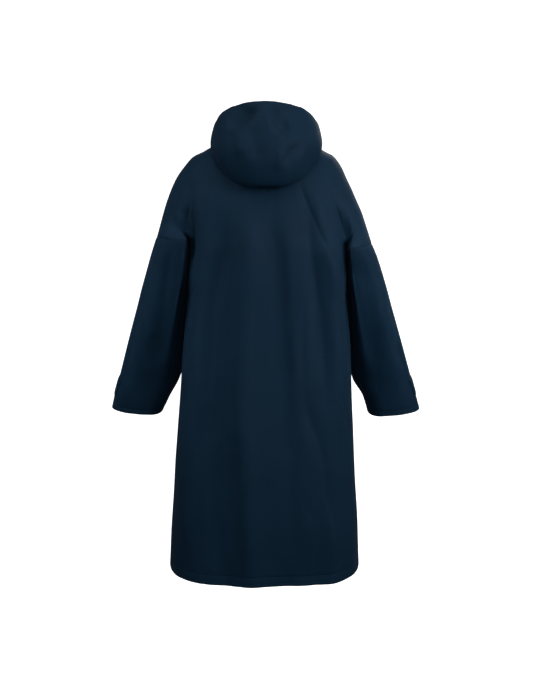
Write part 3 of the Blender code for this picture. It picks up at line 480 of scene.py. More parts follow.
def sleeve_point(side, level, around):
    """A point of a sleeve, from its inner edge (0) behind to its outer edge (1) and round to 2."""
    level, around = np.broadcast_arrays(level, around)
    inner = SLEEVE.at(level, "inner", side)
    outer = SLEEVE.at(level, "outer", side)
    rear = inner + (outer - inner) * SLEEVE.at(level, "rear")
    forward = SLEEVE.at(level, "forward")
    turn = math.pi * np.mod(around, 2.0)
    behind = turn <= math.pi
    turn = np.where(behind, turn, 2 * math.pi - turn)
    across, deep = arm_ring(inner, outer, rear, turn)
    depth = np.where(behind, -SLEEVE.at(level, "back"), SLEEVE.at(level, "front"))
    y = forward + depth * deep
    z = -SLEEVE.at(level, "drop", side)
    z = z + SLEEVE.at(level, "rise", side) * (1 - np.cos(turn)) / 2
    z = z - SLEEVE.at(level, "lean") * (forward - y)
    return np.stack([side * across, y, z], axis=-1)


def neck_point(side, around):
    """The neck seam at an angle round the neck from its back (0) to its front (180)."""
    around = np.asarray(around, float)
    level = np.full(around.shape, NECK_LEVEL)
    behind = shoulder_arc(side, BACK, level, np.radians(np.minimum(around, 90)))
    start = start_angle(FRONT, YOKE.at(level, "ridge", side))
    ahead = start + (math.pi / 2 - start) * (180 - np.maximum(around, 90)) / 90
    before = shoulder_arc(side, FRONT, level, ahead)
    return np.where((around <= 90)[..., None], behind, before)


def hood_point(side, up, around):
    """A point of the hood: up is 0 at the seam, and then the number of each station in turn."""
    up, around = np.broadcast_arrays(up, around)
    seam = neck_point(side, around)
    edge = np.where(around < 90, SEAM_GAP / 2, ZIP_OPENING_HALF)
    seam_x = np.maximum(np.abs(seam[..., 0]), edge)
    stations = [np.stack([np.hypot(seam_x, seam[..., 1]), seam[..., 2] + NECK_GAP], axis=-1)]
    for name in HOOD_STATIONS:
        out = HOOD.at(around, name + "_out")
        stations.append(np.stack([out, HOOD.at(around, name + "_up")], axis=-1))
    stations = np.stack(stations)
    slopes = np.gradient(stations, axis=0)
    step = np.clip(np.floor(up).astype(int), 0, len(stations) - 2)
    along = (up - step)[..., None]
    before = (step, *np.indices(step.shape))
    after = (step + 1, *np.indices(step.shape))
    place = curve(stations[before], stations[after], slopes[before], slopes[after], along)
    seam_direction = np.arctan2(seam_x, -seam[..., 1])
    # Each half stops short of the other by the seam behind and by the zip's opening in front.
    short = np.arcsin(edge / place[..., 0]) * (1 - 2 * (around >= 90))
    share = np.abs(around - 90) / 90
    even = math.pi / 2 * (around / 90) + short * share
    direction = seam_direction + (even - seam_direction) * smooth(up)
    shift = HOOD_SHIFT * smooth(up / FOLD_STATION)
    shift = shift * smooth((HOOD_SHIFT_END - around) / HOOD_SHIFT_FADING)
    x = side * place[..., 0] * np.sin(direction) + shift
    y = -place[..., 0] * np.cos(direction)
    return np.stack([x, y, place[..., 1]], axis=-1)


def fold_depth(folds, place, level):
    """The sum of the folds at a place, each one fading in and out along its length."""
    total = np.zeros(np.broadcast(place, level).shape)
    for fold in (Fold(*row) for row in np.array(folds) / 1000):
        along = (level - fold.top) / (fold.bottom - fold.top)
        middle = fold.place_top + (fold.place_bottom - fold.place_top) * np.clip(along, 0, 1)
        ends = smooth(along / FOLD_FADING) * smooth((1 - along) / FOLD_FADING)
        total = total + fold.depth * ends * np.exp(-(((place - middle) / fold.width) ** 2))
    return total


def hollow_depth(hollows, around, up):
    """The sum of the hollows at an angle round the neck and a place up the hood."""
    total = np.zeros(np.broadcast(around, up).shape)
    for hollow in (Hollow(*row) for row in hollows):
        reach = ((around - hollow.around) / hollow.angle_reach) ** 2
        reach = reach + ((up - hollow.up) / hollow.up_reach) ** 2
        total = total + hollow.depth * np.exp(-reach)
    return total


def unit(vectors):
    """The vectors with a length of 1."""
    return vectors / np.maximum(np.linalg.norm(vectors, axis=-1, keepdims=True), 1e-12)


def face_directions(point, rows, columns, row_limits, column_limits, step=1e-4):
    """Directions across a surface, from how its point function changes with its two coordinates."""
    rows, columns = np.broadcast_arrays(rows, columns)
    up = point(np.minimum(rows + step, row_limits[1]), columns)
    down = point(np.maximum(rows - step, row_limits[0]), columns)
    ahead = point(rows, np.minimum(columns + step, column_limits[1]))
    behind = point(rows, np.maximum(columns - step, column_limits[0]))
    return unit(np.cross(unit(up - down), unit(ahead - behind)))


def outward(normals, points, axis_point):
    """The directions turned so that they point away from an axis or a centre."""
    away = np.sum(normals * (points - axis_point), axis=-1, keepdims=True)
    return np.where(away < 0, -normals, normals)


def smooth_path(path, steps=6):
    """A path's corners joined by a smooth curve through all of them."""
    slopes = np.gradient(path, axis=0)
    along = np.arange(steps)[:, None] / steps
    pieces = [curve(*ends, along) for ends in zip(path, path[1:], slopes, slopes[1:])]
    return np.concatenate([*pieces, path[-1:]])


def crease_height(creases, x, drop):
    """How far the creases lift the cloth at places seen from behind or in front."""
    total = np.zeros(np.broadcast(x, drop).shape)
    for (left, right, sharpness, depth), *corners in creases:
        path = smooth_path(np.array(corners) / 1000)
        nearest = np.full(total.shape, np.inf)
        across = np.zeros(total.shape)
        along = np.zeros(total.shape)
        steps = len(path) - 1
        for number, (start, end) in enumerate(zip(path, path[1:])):
            way = end - start
            share = ((x - start[0]) * way[0] + (drop - start[1]) * way[1]) / (way @ way)
            share = np.clip(share, 0, 1)
            off_x = x - start[0] - way[0] * share
            off_drop = drop - start[1] - way[1] * share
            distance = np.hypot(off_x, off_drop)
            closer = distance < nearest
            nearest = np.where(closer, distance, nearest)
            across = np.where(closer, np.sign(off_x * way[1] - off_drop * way[0]), across)
            along = np.where(closer, (number + share) / steps, along)
        width = np.where(across < 0, left, right) / 1000
        ends = smooth(along / CREASE_FADING) * smooth((1 - along) / CREASE_FADING)
        total = total + depth / 1000 * ends * np.exp(-((nearest / width) ** sharpness))
    return total


def ripple(first, second, seed):
    """Small unevenness of the cloth: a few waves across two coordinates in metres."""
    chance = np.random.default_rng(seed)
    total = np.zeros(np.broadcast(first, second).shape)
    for _ in range(RIPPLE_WAVES):
        angle = chance.uniform(0, math.pi)
        length = chance.uniform(*RIPPLE_LENGTHS)
        phase = chance.uniform(0, 2 * math.pi)
        across = first * math.cos(angle) * RIPPLE_ACROSS + second * math.sin(angle) * RIPPLE_ALONG
        total = total + np.sin(2 * math.pi * (across / length) + phase) * length
    return total * RIPPLE_SIZE


def small_relief(creases, points, seed):
    """The creases and ripples at points of the cloth."""
    small = crease_height(creases, points[..., 0], -points[..., 2])
    return small + ripple(points[..., 0], points[..., 2], seed)


def stations(start, end, step, near_start=(), near_end=()):
    """Even places from start to end, with given distances from either end added."""
    first = start + np.array((0.0, *near_start))
    last = end - np.array((0.0, *near_end))[::-1]
    count = max(2, round((last[0] - first[-1]) / step) + 1)
    middle = np.linspace(first[-1], last[0], count)
    return np.concatenate([first[:-1], middle, last[1:]])


def seam_dip(distance):
    """The cloth rolls in beside a seam."""
    return -SEAM_DEPTH * np.exp(-((distance / SEAM_REACH) ** 2))


def stitch_groove(distance):
    """The cloth is pulled in along a row of stitches."""
    return -STITCH_GROOVE * np.exp(-((distance / STITCH_GROOVE_REACH) ** 2))


def bridged(depth, level, share):
    """The cloth's depth where it bridges the cleft between body and arm, above the armhole."""
    bridge = BRIDGE.at(level, "depth") * share
    blend = BRIDGE.at(level, "blend") * share
    return (depth + bridge + np.sqrt((depth - bridge) ** 2 + blend**2)) / 2


# The finer grids: rows down the body, columns to the side seam, round an arm, and round and up the
# hood. Rows and columns lie closer near seams, stitches and the cleft beside the arm.
ROW_STEP = 0.005
NEAR = (0.001, 0.002, 0.0035, 0.0055)
NEAR_EDGE = (0.001, 0.003)
NEAR_SIDE = (0.003, 0.007, 0.012, 0.018)
HEM_STITCH_NEAR = (0.0205, 0.0215, 0.0225, 0.0235, 0.0245, 0.0255)
CUFF_STITCH_NEAR = (0.0095, 0.0105, 0.0115, 0.0125, 0.0135)
CLEFT_NEAR = (0.034, 0.050, 0.064, 0.074, 0.082, 0.090, 0.098, 0.106, 0.115, 0.123, 0.131, 0.139)
YOKE_LEVELS = stations(NECK_LEVEL, ARMHOLE_LEVEL, ROW_STEP, NEAR, NEAR)
SKIRT_LEVELS = stations(ARMHOLE_LEVEL, HEM_LEVEL, ROW_STEP, (), (*NEAR_EDGE, *HEM_STITCH_NEAR))
BODY_LEVELS = np.concatenate([YOKE_LEVELS, SKIRT_LEVELS[1:]])
BACK_PLACES = stations(0, 1, 0.016, (), (*NEAR_SIDE, *CLEFT_NEAR))
FRONT_PLACES = stations(0, 1, 0.016, (0.004, 0.010), NEAR_SIDE)
ARM_PLACES = stations(0, 1, 0.022, (0.006, 0.013), (0.004, 0.009, 0.015))
SLEEVE_LEVELS = stations(
    ARMHOLE_LEVEL, CUFF_LEVEL, ROW_STEP, NEAR, (*NEAR_EDGE, *CUFF_STITCH_NEAR)
)
SLEEVE_PLACES = np.arange(0, 2, 0.02)
HOOD_PLACES = stations(0, 180, 2.2, (0.4, 0.9, 1.5), (0.6, 1.4))
HOOD_UPS = stations(0, LIP_STATION, 0.07, (0.03,), (0.02,))

# Grids of outer points, directions and inner points, and each point's place on the cloth in metres.
Cloth = namedtuple("Cloth", "points normals inner places")


def sheet_cloth(points, normals, across, along, thickness=SHELL):
    """A cloth of even thickness, with two coordinates for the places on it."""
    places = np.stack(np.broadcast_arrays(across, along), axis=-1)
    return Cloth(points, normals, points - thickness * normals, places)


def body_cloth(side, half, columns):
    """Half of the back or a front, from the centre line to the side seam and over the shoulder."""
    across = columns[None, :]
    levels = BODY_LEVELS[:, None]
    yoke_count = int(np.sum(BODY_LEVELS <= ARMHOLE_LEVEL + 1e-9))
    yoke = levels[:yoke_count]
    around = ARM_PLACES[None, :]

    body = partial(body_point, side, half)
    points = body(levels, across)
    normals = face_directions(body, levels, across, (NECK_LEVEL, HEM_LEVEL), (0, 1))
    normals = outward(normals, points, np.array([0, 0, -BODY_MIDDLE_DROP]))
    arm = partial(arm_point, side, half)
    arm_points = arm(yoke, around)
    arm_normals = face_directions(arm, yoke, around, (NECK_LEVEL, ARMHOLE_LEVEL), (0, 1))
    middle = arm_points.mean(axis=1, keepdims=True) * np.array([1, 0, 1])
    middle = middle - np.array([0, 0, ARM_MIDDLE_BELOW])
    arm_normals = outward(arm_normals, arm_points, middle)
    bottom = normals[:yoke_count, -1] + arm_normals[:, 0]
    bottom = bottom + np.array([0, half * FOLD_BOTTOM_BIAS, 0])
    bottom[-1, 2] = 0
    normals[:yoke_count, -1] = unit(bottom)
    normals[yoke_count:, -1, 1] = 0
    arm_normals[:, -1, 1] = 0
    arm_normals[-1, :, 2] = 0
    normals[-1, :, 2] = 0
    if half == FRONT:
        normals[:, 0, 0] = 0
    normals = unit(normals)
    arm_normals = unit(arm_normals)

    points[..., 1] = half * bridged(half * points[..., 1], levels, 1)
    near_body = 1 - smooth((around - CLEFT_SHARE) / CLEFT_FADING)
    arm_points[..., 1] = half * bridged(half * arm_points[..., 1], yoke, near_body)
    folds = BACK_FOLDS if half == BACK else FRONT_FOLDS
    creases = BACK_CREASES if half == BACK else FRONT_CREASES
    fading = smooth((1 - across) / SIDE_FADING)
    if half == FRONT:
        fading = fading * smooth(across / ZIP_FADING)
    neck_fading = smooth((levels - NECK_LEVEL) / NECK_FADING)
    small = small_relief(creases, points, BODY_SEED + half)
    lift = fold_depth(folds, points[..., 0], levels) * fading + small * fading * neck_fading
    side_width = BODY.at(levels, "half", side) * math.pi / 2 * SIDE_CLOTH_SHARE
    seam = seam_dip((1 - across) * side_width) * (levels > ARMHOLE_LEVEL)
    seam = seam + seam_dip(levels - NECK_LEVEL) + stitch_groove(HEM_LEVEL - HEM_ALLOWANCE - levels)
    points = points + normals * (lift + seam)[..., None]

    arm_fading = smooth(around / SIDE_FADING)
    small = small_relief(creases, arm_points, BODY_SEED + half)
    arm_width = YOKE.at(yoke, "ridge", side)
    lift = small * arm_fading * smooth((yoke - NECK_LEVEL) / NECK_FADING)
    lift = lift + seam_dip((1 - around) * arm_width) + seam_dip(ARMHOLE_LEVEL - yoke)
    lift = lift + seam_dip(yoke - NECK_LEVEL)
    arm_points = arm_points + arm_normals * lift[..., None]

    rows, body_columns = points.shape[:2]
    outer = np.full((rows, body_columns + len(ARM_PLACES) - 1, 3), np.nan)
    directions = outer.copy()
    outer[:, :body_columns] = points
    directions[:, :body_columns] = normals
    outer[:yoke_count, body_columns:] = arm_points[:, 1:]
    directions[:yoke_count, body_columns:] = arm_normals[:, 1:]
    start = start_angle(half, YOKE.at(NECK_LEVEL, "ridge", side))
    near = start + (PARTING_ANGLE - start) * across[0]
    far = PARTING_ANGLE + (math.pi / 2 - PARTING_ANGLE) * around[0, 1:]
    shares = (np.concatenate([near, far]) - start) / (math.pi / 2 - start)
    outer[0] = neck_point(side, 90 * shares if half == BACK else 180 - 90 * shares)
    directions[0] = unit(outer[0] * np.array([1, 1, 0]))
    directions[0, 0, 0] = 0
    directions[0] = unit(directions[0])
    places = np.concatenate([columns, 1 + ARM_PLACES[1:]]) * BODY_CLOTH_WIDTH
    return sheet_cloth(outer, directions, side * places[None, :], levels)


def joined(left, right):
    """Two halves that share their centre line, as one cloth."""
    grids = []
    for first, second in zip(left, right):
        middle = (first[:, :1] + second[:, :1]) / 2
        grids.append(np.concatenate([first[:, :0:-1], middle, second[:, 1:]], axis=1))
    return Cloth(*grids)


def sleeve_cloth(side):
    """A sleeve from the armhole to the cuff, a ring that closes on itself."""
    levels = SLEEVE_LEVELS[:, None]
    around = SLEEVE_PLACES[None, :]
    sleeve = partial(sleeve_point, side)
    points = sleeve(levels, around)
    normals = face_directions(sleeve, levels, around, (ARMHOLE_LEVEL, CUFF_LEVEL), (-1, 3))
    normals = outward(normals, points, points.mean(axis=1, keepdims=True))
    normals[0, :, 2] = 0
    normals = unit(normals)
    small = np.where(
        around <= 1,
        small_relief(BACK_CREASES, points, SLEEVE_SEED),
        small_relief(FRONT_CREASES, points, SLEEVE_SEED),
    )
    inner_edge = np.minimum(around, 2 - around)
    outer_edge = np.abs(around - 1)
    small = small * smooth(inner_edge / SIDE_FADING) * smooth(outer_edge / SIDE_FADING)
    lift = fold_depth(SLEEVE_FOLDS, around, levels) + small
    lift = lift + seam_dip(levels - ARMHOLE_LEVEL)
    lift = lift + stitch_groove(CUFF_LEVEL - CUFF_ALLOWANCE - levels)
    points = points + normals * lift[..., None]
    points[0, :, 2] -= SEAM_GAP
    return sheet_cloth(points, normals, around * SLEEVE_CLOTH_WIDTH, levels)


def hood_cloth(side):
    """Half of the hood, from the centre back to the front edge and from the neck to the lip."""
    around = HOOD_PLACES[None, :]
    up = HOOD_UPS[:, None]
    hood = partial(hood_point, side)
    points = hood(up, around)
    normals = face_directions(hood, up, around, (0, LIP_STATION), (0, 180), step=1e-3)
    row = int(np.argmin(np.abs(HOOD_UPS - (TOP_STATION - 1))))
    if np.mean(normals[row, :, 0]) * side < 0:
        normals = -normals
    normals[0] = unit(points[0] * np.array([1, 1, 0]))
    normals[:, 0, 0] = 0
    normals[:, -1, 0] = 0
    normals = unit(normals)
    lift = hollow_depth(HOOD_HOLLOWS[side], around, up) * smooth(around / HOOD_SEAM_FADING)
    small = small_relief(HOOD_CREASES, points, HOOD_SEED)
    shown = smooth(up - FOLD_STATION) * smooth((HOOD_CREASES_END - around) / HOOD_CREASES_FADING)
    edges = smooth((LIP_STATION - up) / HOOD_LIP_FADING) * smooth(up / HOOD_NECK_FADING)
    lift = lift + small * shown * edges
    points = points + normals * lift[..., None]
    return sheet_cloth(points, normals, side * around * HOOD_SEAM_SCALE, up * HOOD_STATION_SCALE)


def meeting(left, right):
    """The two halves of the hood by side, with their centre columns made one behind."""
    behind = (left.points[:, :1, 1] < 0)[..., None]
    for first, second in ((left.points, right.points), (left.inner, right.inner)):
        middle = (first[:, :1] + second[:, :1]) / 2
        first[:, :1] = np.where(behind, middle, first[:, :1])
        second[:, :1] = np.where(behind, middle, second[:, :1])
    return {LEFT: left, RIGHT: right}


def new_mesh(name, points, faces, *materials):
    """A mesh with the named materials in its slots."""
    mesh = bpy.data.meshes.new(name)
    mesh.from_pydata(np.array(points).tolist(), [], faces)
    for material in materials:
        mesh.materials.append(MATERIALS[material])
    return mesh


def face_outward(mesh):
    """Turns a closed mesh's faces outwards."""
    shape = bmesh.new()
    shape.from_mesh(mesh)
    bmesh.ops.recalc_face_normals(shape, faces=shape.faces)
    shape.to_mesh(mesh)
    shape.free()


def add_object(name, data):
    """A new object in the scene."""
    piece = bpy.data.objects.new(name, data)
    bpy.context.scene.collection.objects.link(piece)
    return piece


def add_cloth(name, cloth, outer="shell", inner="lining", period=None):
    """A closed thin shell between the outer and inner grids of a cloth. A ring closes on itself."""
    present = ~np.isnan(cloth.points[..., 0])
    numbers = np.full(present.shape, -1)
    numbers[present] = np.arange(present.sum())
    count = int(present.sum())
    beside = np.roll(numbers, -1, axis=1)
    cells = np.stack([numbers[:-1], beside[:-1], beside[1:], numbers[1:]], axis=-1)
    wraps = np.zeros(cells.shape[:2], bool)
    wraps[:, -1] = True
    whole = (cells >= 0).all(axis=-1)
    if period is None:
        whole[:, -1] = False
    cells = cells[whole]
    wraps = wraps[whole]
    edges = np.concatenate([cells[:, [k, (k + 1) % 4]] for k in range(4)])
    _, where, times = np.unique(
        np.sort(edges, axis=1), axis=0, return_index=True, return_counts=True
    )
    rim = edges[where[times == 1]]
    rims = np.stack([rim[:, 1], rim[:, 0], rim[:, 0] + count, rim[:, 1] + count], axis=-1)
    faces = np.concatenate([cells, cells[:, ::-1] + count, rims])
    points = np.concatenate([cloth.points[present], cloth.inner[present]])
    mesh = new_mesh(name, points, faces.tolist(), outer, inner)
    corner_places = cloth.places[present][faces % count]
    if period is not None:
        far = np.concatenate([wraps, wraps, np.zeros(len(rims), bool)])
        near = corner_places[..., 0] < period / 2
        corner_places[..., 0] += period * (near & far[:, None])
    corner_places = corner_places.astype(np.float32).ravel()
    mesh.uv_layers.new(name="cloth").data.foreach_set("uv", corner_places)
    slots = np.repeat([0, 1, 0], [len(cells), len(cells), len(rims)])
    mesh.polygons.foreach_set("material_index", slots.astype(np.int32))
    face_outward(mesh)
    mesh.shade_smooth()
    mesh.set_sharp_from_angle(angle=SHARP_EDGE)
    piece = add_object(name, mesh)
    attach(piece, "robe")
    return piece


def place_on(cloth, row, column):
    """A point and a direction between the points of a cloth's grid."""
    row = np.clip(row, 0, cloth.points.shape[0] - 1.0001)
    column = np.clip(column, 0, cloth.points.shape[1] - 1.0001)
    top = row.astype(int)
    near = column.astype(int)
    down = (row - top)[:, None]
    along = (column - near)[:, None]
    found = []
    for grid in (cloth.points, cloth.normals):
        upper = grid[top, near] * (1 - along) + grid[top, near + 1] * along
        lower = grid[top + 1, near] * (1 - along) + grid[top + 1, near + 1] * along
        found.append(upper * (1 - down) + lower * down)
    return found[0], unit(found[1])


# Noise of the materials: its scale, detail and roughness.
PATCHES = (9.0, 3.0, 0.55)
FIBRES = (420.0, 2.0, 0.6)
PUCKERS = (44.0, 3.0, 0.5)
MARKS = (900.0, 4.0, 0.7)
# How much the fibres weigh beside the patches, and the ends of the ramp between the two colours.
FIBRE_SHARE = 0.35
RAMP_ENDS = (0.45, 0.90)
CLOTH_ROUGHNESS_RANGE = 0.16
HARD_ROUGHNESS_RANGE = 0.25
HARD_ROUGHNESS_LOWER = 0.12
# Puckers run down the cloth. Bumps have a strength and a distance in metres.
HANGING = (1.0, 1.0, 0.25)
PUCKER_BUMP = (0.5, 0.002)
WEAVE_BUMP = (0.5, 1.0)
MARK_BUMP = (0.15, 0.0002)
SHEEN_ROUGHNESS = 0.45
SHEEN_TINT = (0.35, 0.55, 0.80, 1)
# Edges this pointed are worn, and shown in this colour.
WORN_FROM = 0.52
WORN_TO = 0.62
WORN_COLOUR = (0.30, 0.31, 0.33, 1)


class Look:
    """A new material, whose nodes are added with values or other nodes' outputs as inputs."""

    def __init__(self, name):
        self.material = bpy.data.materials.new(name)
        self.material.use_nodes = True
        self.tree = self.material.node_tree
        self.shader = self.tree.nodes["Principled BSDF"]

    def fill(self, node, inputs):
        """Sets a node's inputs by name or number, and links the ones that are sockets."""
        for name, value in inputs.items():
            if isinstance(value, bpy.types.NodeSocket):
                self.tree.links.new(value, node.inputs[name])
            else:
                node.inputs[name].default_value = value

    def add(self, kind, inputs=None, **settings):
        """A new node's outputs."""
        node = self.tree.nodes.new("ShaderNode" + kind)
        for name, value in settings.items():
            setattr(node, name, value)
        self.fill(node, inputs or {})
        return node.outputs

    def reckon(self, operation, *values):
        """The output of a node that works out a number from values and outputs."""
        return self.add("Math", dict(enumerate(values)), operation=operation)[0]

    def noise(self, vector, scale, detail, roughness):
        inputs = {"Vector": vector, "Scale": scale, "Detail": detail, "Roughness": roughness}
        return self.add("TexNoise", inputs)["Fac"]

    def bump(self, size, height, **normal):
        inputs = {"Strength": size[0], "Distance": size[1], "Height": height, **normal}
        return self.add("Bump", inputs)[0]

    def ramp(self, factor, dark, light):
        node = self.tree.nodes.new("ShaderNodeValToRGB")
        self.fill(node, {"Fac": factor})
        for element, place, colour in zip(node.color_ramp.elements, RAMP_ENDS, (dark, light)):
            element.position = place
            element.color = (*colour, 1)
        return node.outputs["Color"]


def cloth_material(name, dark, light, roughness, sheen, thread, weave_depth, specular=0.18):
    """Woven cloth: two crossing sets of threads, soft patches of colour and small puckers."""
    look = Look(name)
    split = look.add("SeparateXYZ", {"Vector": look.add("UVMap")["UV"]})
    threads = []
    for axis in ("X", "Y"):
        turned = look.reckon("MULTIPLY", split[axis], 2 * math.pi / thread)
        threads.append(look.reckon("SINE", turned))
    weave = look.reckon("MULTIPLY", *threads)
    room = look.add("TexCoord")["Object"]
    patches = look.noise(room, *PATCHES)
    fibres = look.noise(room, *FIBRES)
    hanging = look.add("VectorMath", {0: room, 1: HANGING}, operation="MULTIPLY")[0]
    puckers = look.noise(hanging, *PUCKERS)
    blend = look.reckon("MULTIPLY_ADD", fibres, FIBRE_SHARE, patches)
    colour = look.ramp(blend, dark, light)
    spread = CLOTH_ROUGHNESS_RANGE
    rough = look.reckon("MULTIPLY_ADD", patches, spread, roughness - spread / 2)
    height = look.reckon("MULTIPLY_ADD", weave, weave_depth, 0.0)
    puckered = look.bump(PUCKER_BUMP, puckers)
    woven = look.bump(WEAVE_BUMP, height, Normal=puckered)
    look.fill(
        look.shader,
        {
            "Base Color": colour,
            "Roughness": rough,
            "Normal": woven,
            "Specular IOR Level": specular,
            "Sheen Weight": sheen,
            "Sheen Roughness": SHEEN_ROUGHNESS,
            "Sheen Tint": SHEEN_TINT,
        },
    )
    return look.material


def hard_material(name, colour, roughness, metallic, wear=0.0):
    """Painted metal or moulded plastic with fine marks and a little wear on its edges."""
    look = Look(name)
    marks = look.noise(look.add("TexCoord")["Object"], *MARKS)
    edges = look.add("NewGeometry")["Pointiness"]
    worn = look.add("MapRange", {"Value": edges, "From Min": WORN_FROM, "From Max": WORN_TO})[0]
    share = look.reckon("MULTIPLY", worn, wear)
    colours = {"Factor": share, 6: (*colour, 1), 7: WORN_COLOUR}
    mixed = look.add("Mix", colours, data_type="RGBA")[2]
    rough = look.reckon(
        "MULTIPLY_ADD", marks, HARD_ROUGHNESS_RANGE, roughness - HARD_ROUGHNESS_LOWER
    )
    look.fill(
        look.shader,
        {
            "Base Color": mixed,
            "Roughness": rough,
            "Normal": look.bump(MARK_BUMP, marks),
            "Metallic": metallic,
        },
    )
    return look.material


# Cloths: dark and light colour, roughness, sheen, pitch of the threads and depth of the weave. Hard
# materials: colour, roughness, how metallic they are, and their wear.
SHELL_COLOURS = ((0.0020, 0.0172, 0.0390), (0.0028, 0.0202, 0.0445))
MATERIALS = {
    "shell": cloth_material(
        "shell_cloth", *SHELL_COLOURS, 0.70, 0.03, 0.0009, 0.00008, specular=0.12
    ),
    "lining": cloth_material(
        "lining_cloth", (0.006, 0.010, 0.016), (0.012, 0.018, 0.026), 0.85, 0.10, 0.0016, 0.00015
    ),
    "tape": cloth_material(
        "tape_cloth", (0.006, 0.012, 0.020), (0.010, 0.018, 0.030), 0.75, 0.05, 0.0012, 0.00012
    ),
    "thread": cloth_material(
        "thread", (0.010, 0.026, 0.042), (0.016, 0.036, 0.056), 0.6, 0.1, 0.0006, 0.00005
    ),
    "teeth": hard_material("moulded_teeth", (0.008, 0.010, 0.013), 0.38, 0.0),
    "metal": hard_material("satin_metal", (0.035, 0.037, 0.041), 0.36, 0.9, 0.6),
}


def between(place, places, rows):
    """A row of coordinates at a place among the places of the given rows."""
    return np.array([np.interp(place, places, rows[:, axis]) for axis in range(3)])


def lengths_along(line):
    """The distance walked along a line to each of its points."""
    return np.concatenate([[0], np.cumsum(np.linalg.norm(np.diff(line, axis=0), axis=1))])


def three_rings(first, sides):
    """The faces of three rings of points, numbered from the first one and closed at both ends."""
    faces = []
    for ring in (first, first + sides):
        for k in range(sides):
            beside = (k + 1) % sides
            faces.append((ring + k, ring + beside, ring + beside + sides, ring + k + sides))
    faces.append(tuple(first + k for k in reversed(range(sides))))
    faces.append(tuple(first + 2 * sides + k for k in range(sides)))
    return faces


def add_stitches(name, lines):
    """Rows of stitches: each is a short thread that dips into the cloth at both ends."""
    turns = np.linspace(0, 2 * math.pi, STITCH_SIDES + 1)[:-1]
    points = []
    faces = []
    for line, normals in lines:
        walked = lengths_along(line)
        for start in np.arange(STITCH_PITCH / 2, walked[-1] - STITCH_LENGTH, STITCH_PITCH):
            faces.extend(three_rings(len(points), STITCH_SIDES))
            places = [start + STITCH_LENGTH * share for share, _, _ in STITCH_RINGS]
            spots = [between(place, walked, line) for place in places]
            way = unit(spots[-1] - spots[0])
            for spot, place, (_, lift, size) in zip(spots, places, STITCH_RINGS):
                away = unit(between(place, walked, normals))
                beside = np.cross(way, away)
                for turn in turns:
                    around = away * math.cos(turn) + beside * math.sin(turn)
                    around = around * STITCH_RADIUS * size
                    points.append(spot + away * STITCH_RADIUS * lift + around)
    mesh = new_mesh(name, points, faces, "thread")
    mesh.shade_smooth()
    piece = add_object(name, mesh)
    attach(piece, "robe")


def row_line(cloth, level, levels, first=0.0, last=None):
    """A line across a cloth at one level."""
    last = cloth.points.shape[1] - 1 if last is None else last
    columns = np.arange(first, last, 0.5)
    row = np.full(columns.shape, np.interp(level, levels, np.arange(len(levels))))
    return place_on(cloth, row, columns)


def cuff_tab_cloth(sleeve):
    """The tightening tab above the cuff: a double strip of cloth with rounded edges."""
    levels = np.linspace(*CUFF_TAB_LEVELS, CUFF_TAB_GRID[0])
    rounds = np.linspace(*CUFF_TAB_PLACES, CUFF_TAB_GRID[1])
    rows = np.interp(levels, SLEEVE_LEVELS, np.arange(len(SLEEVE_LEVELS)))
    columns = np.interp(rounds, SLEEVE_PLACES, np.arange(len(SLEEVE_PLACES)))
    row_grid, column_grid = np.meshgrid(rows, columns, indexing="ij")
    points, normals = place_on(sleeve, row_grid.ravel(), column_grid.ravel())
    points = points.reshape(*row_grid.shape, 3)
    normals = normals.reshape(*row_grid.shape, 3)
    across = np.linspace(-1, 1, len(rows))[:, None]
    along = np.linspace(0, 1, len(columns))[None, :]
    near_end = np.maximum(1 - along / CUFF_TAB_START, (along - 1 + CUFF_TAB_END) / CUFF_TAB_END)
    rim = np.maximum(np.abs(across) ** 6, near_end.clip(0, 1) ** 2)
    height = CUFF_TAB_WALL * (1 - CUFF_TAB_THINNING * rim)
    outer = points + normals * (SEAM_GAP + height)[..., None]
    inner = points + normals * SEAM_GAP
    length, width = CUFF_TAB_WEAVE
    places = np.stack(np.broadcast_arrays(along * length, across * width), axis=-1)
    return Cloth(outer, normals, inner, places)


def zip_line(fronts, hoods, offset):
    """Points inside each front edge, this far from the middle, from the hem up, and directions."""
    lines = []
    body_rows = range(len(BODY_LEVELS) - 1, -1, -1)
    hood_rows = range(1, int(np.searchsorted(HOOD_UPS, TOP_STATION)) + 1)
    for side in (LEFT, RIGHT):
        points = []
        ways = []
        for cloth, rows, turn in ((fronts[side], body_rows, 1), (hoods[side], hood_rows, -1)):
            for row in rows:
                edge = cloth.points[row][::turn][:FRONT_EDGE_COLUMNS]
                edge_ways = cloth.normals[row][::turn][:FRONT_EDGE_COLUMNS]
                reach = np.abs(edge[:, 0])
                place = max(offset, reach[0])
                away = unit(between(place, reach, edge_ways) * np.array([0, 1, 1]))
                spot = between(place, reach, edge) - away * (WALL + SEAM_GAP)
                spot[0] = side * offset
                points.append(spot)
                ways.append(away)
        lines.append((np.array(points), np.array(ways)))
    return lines


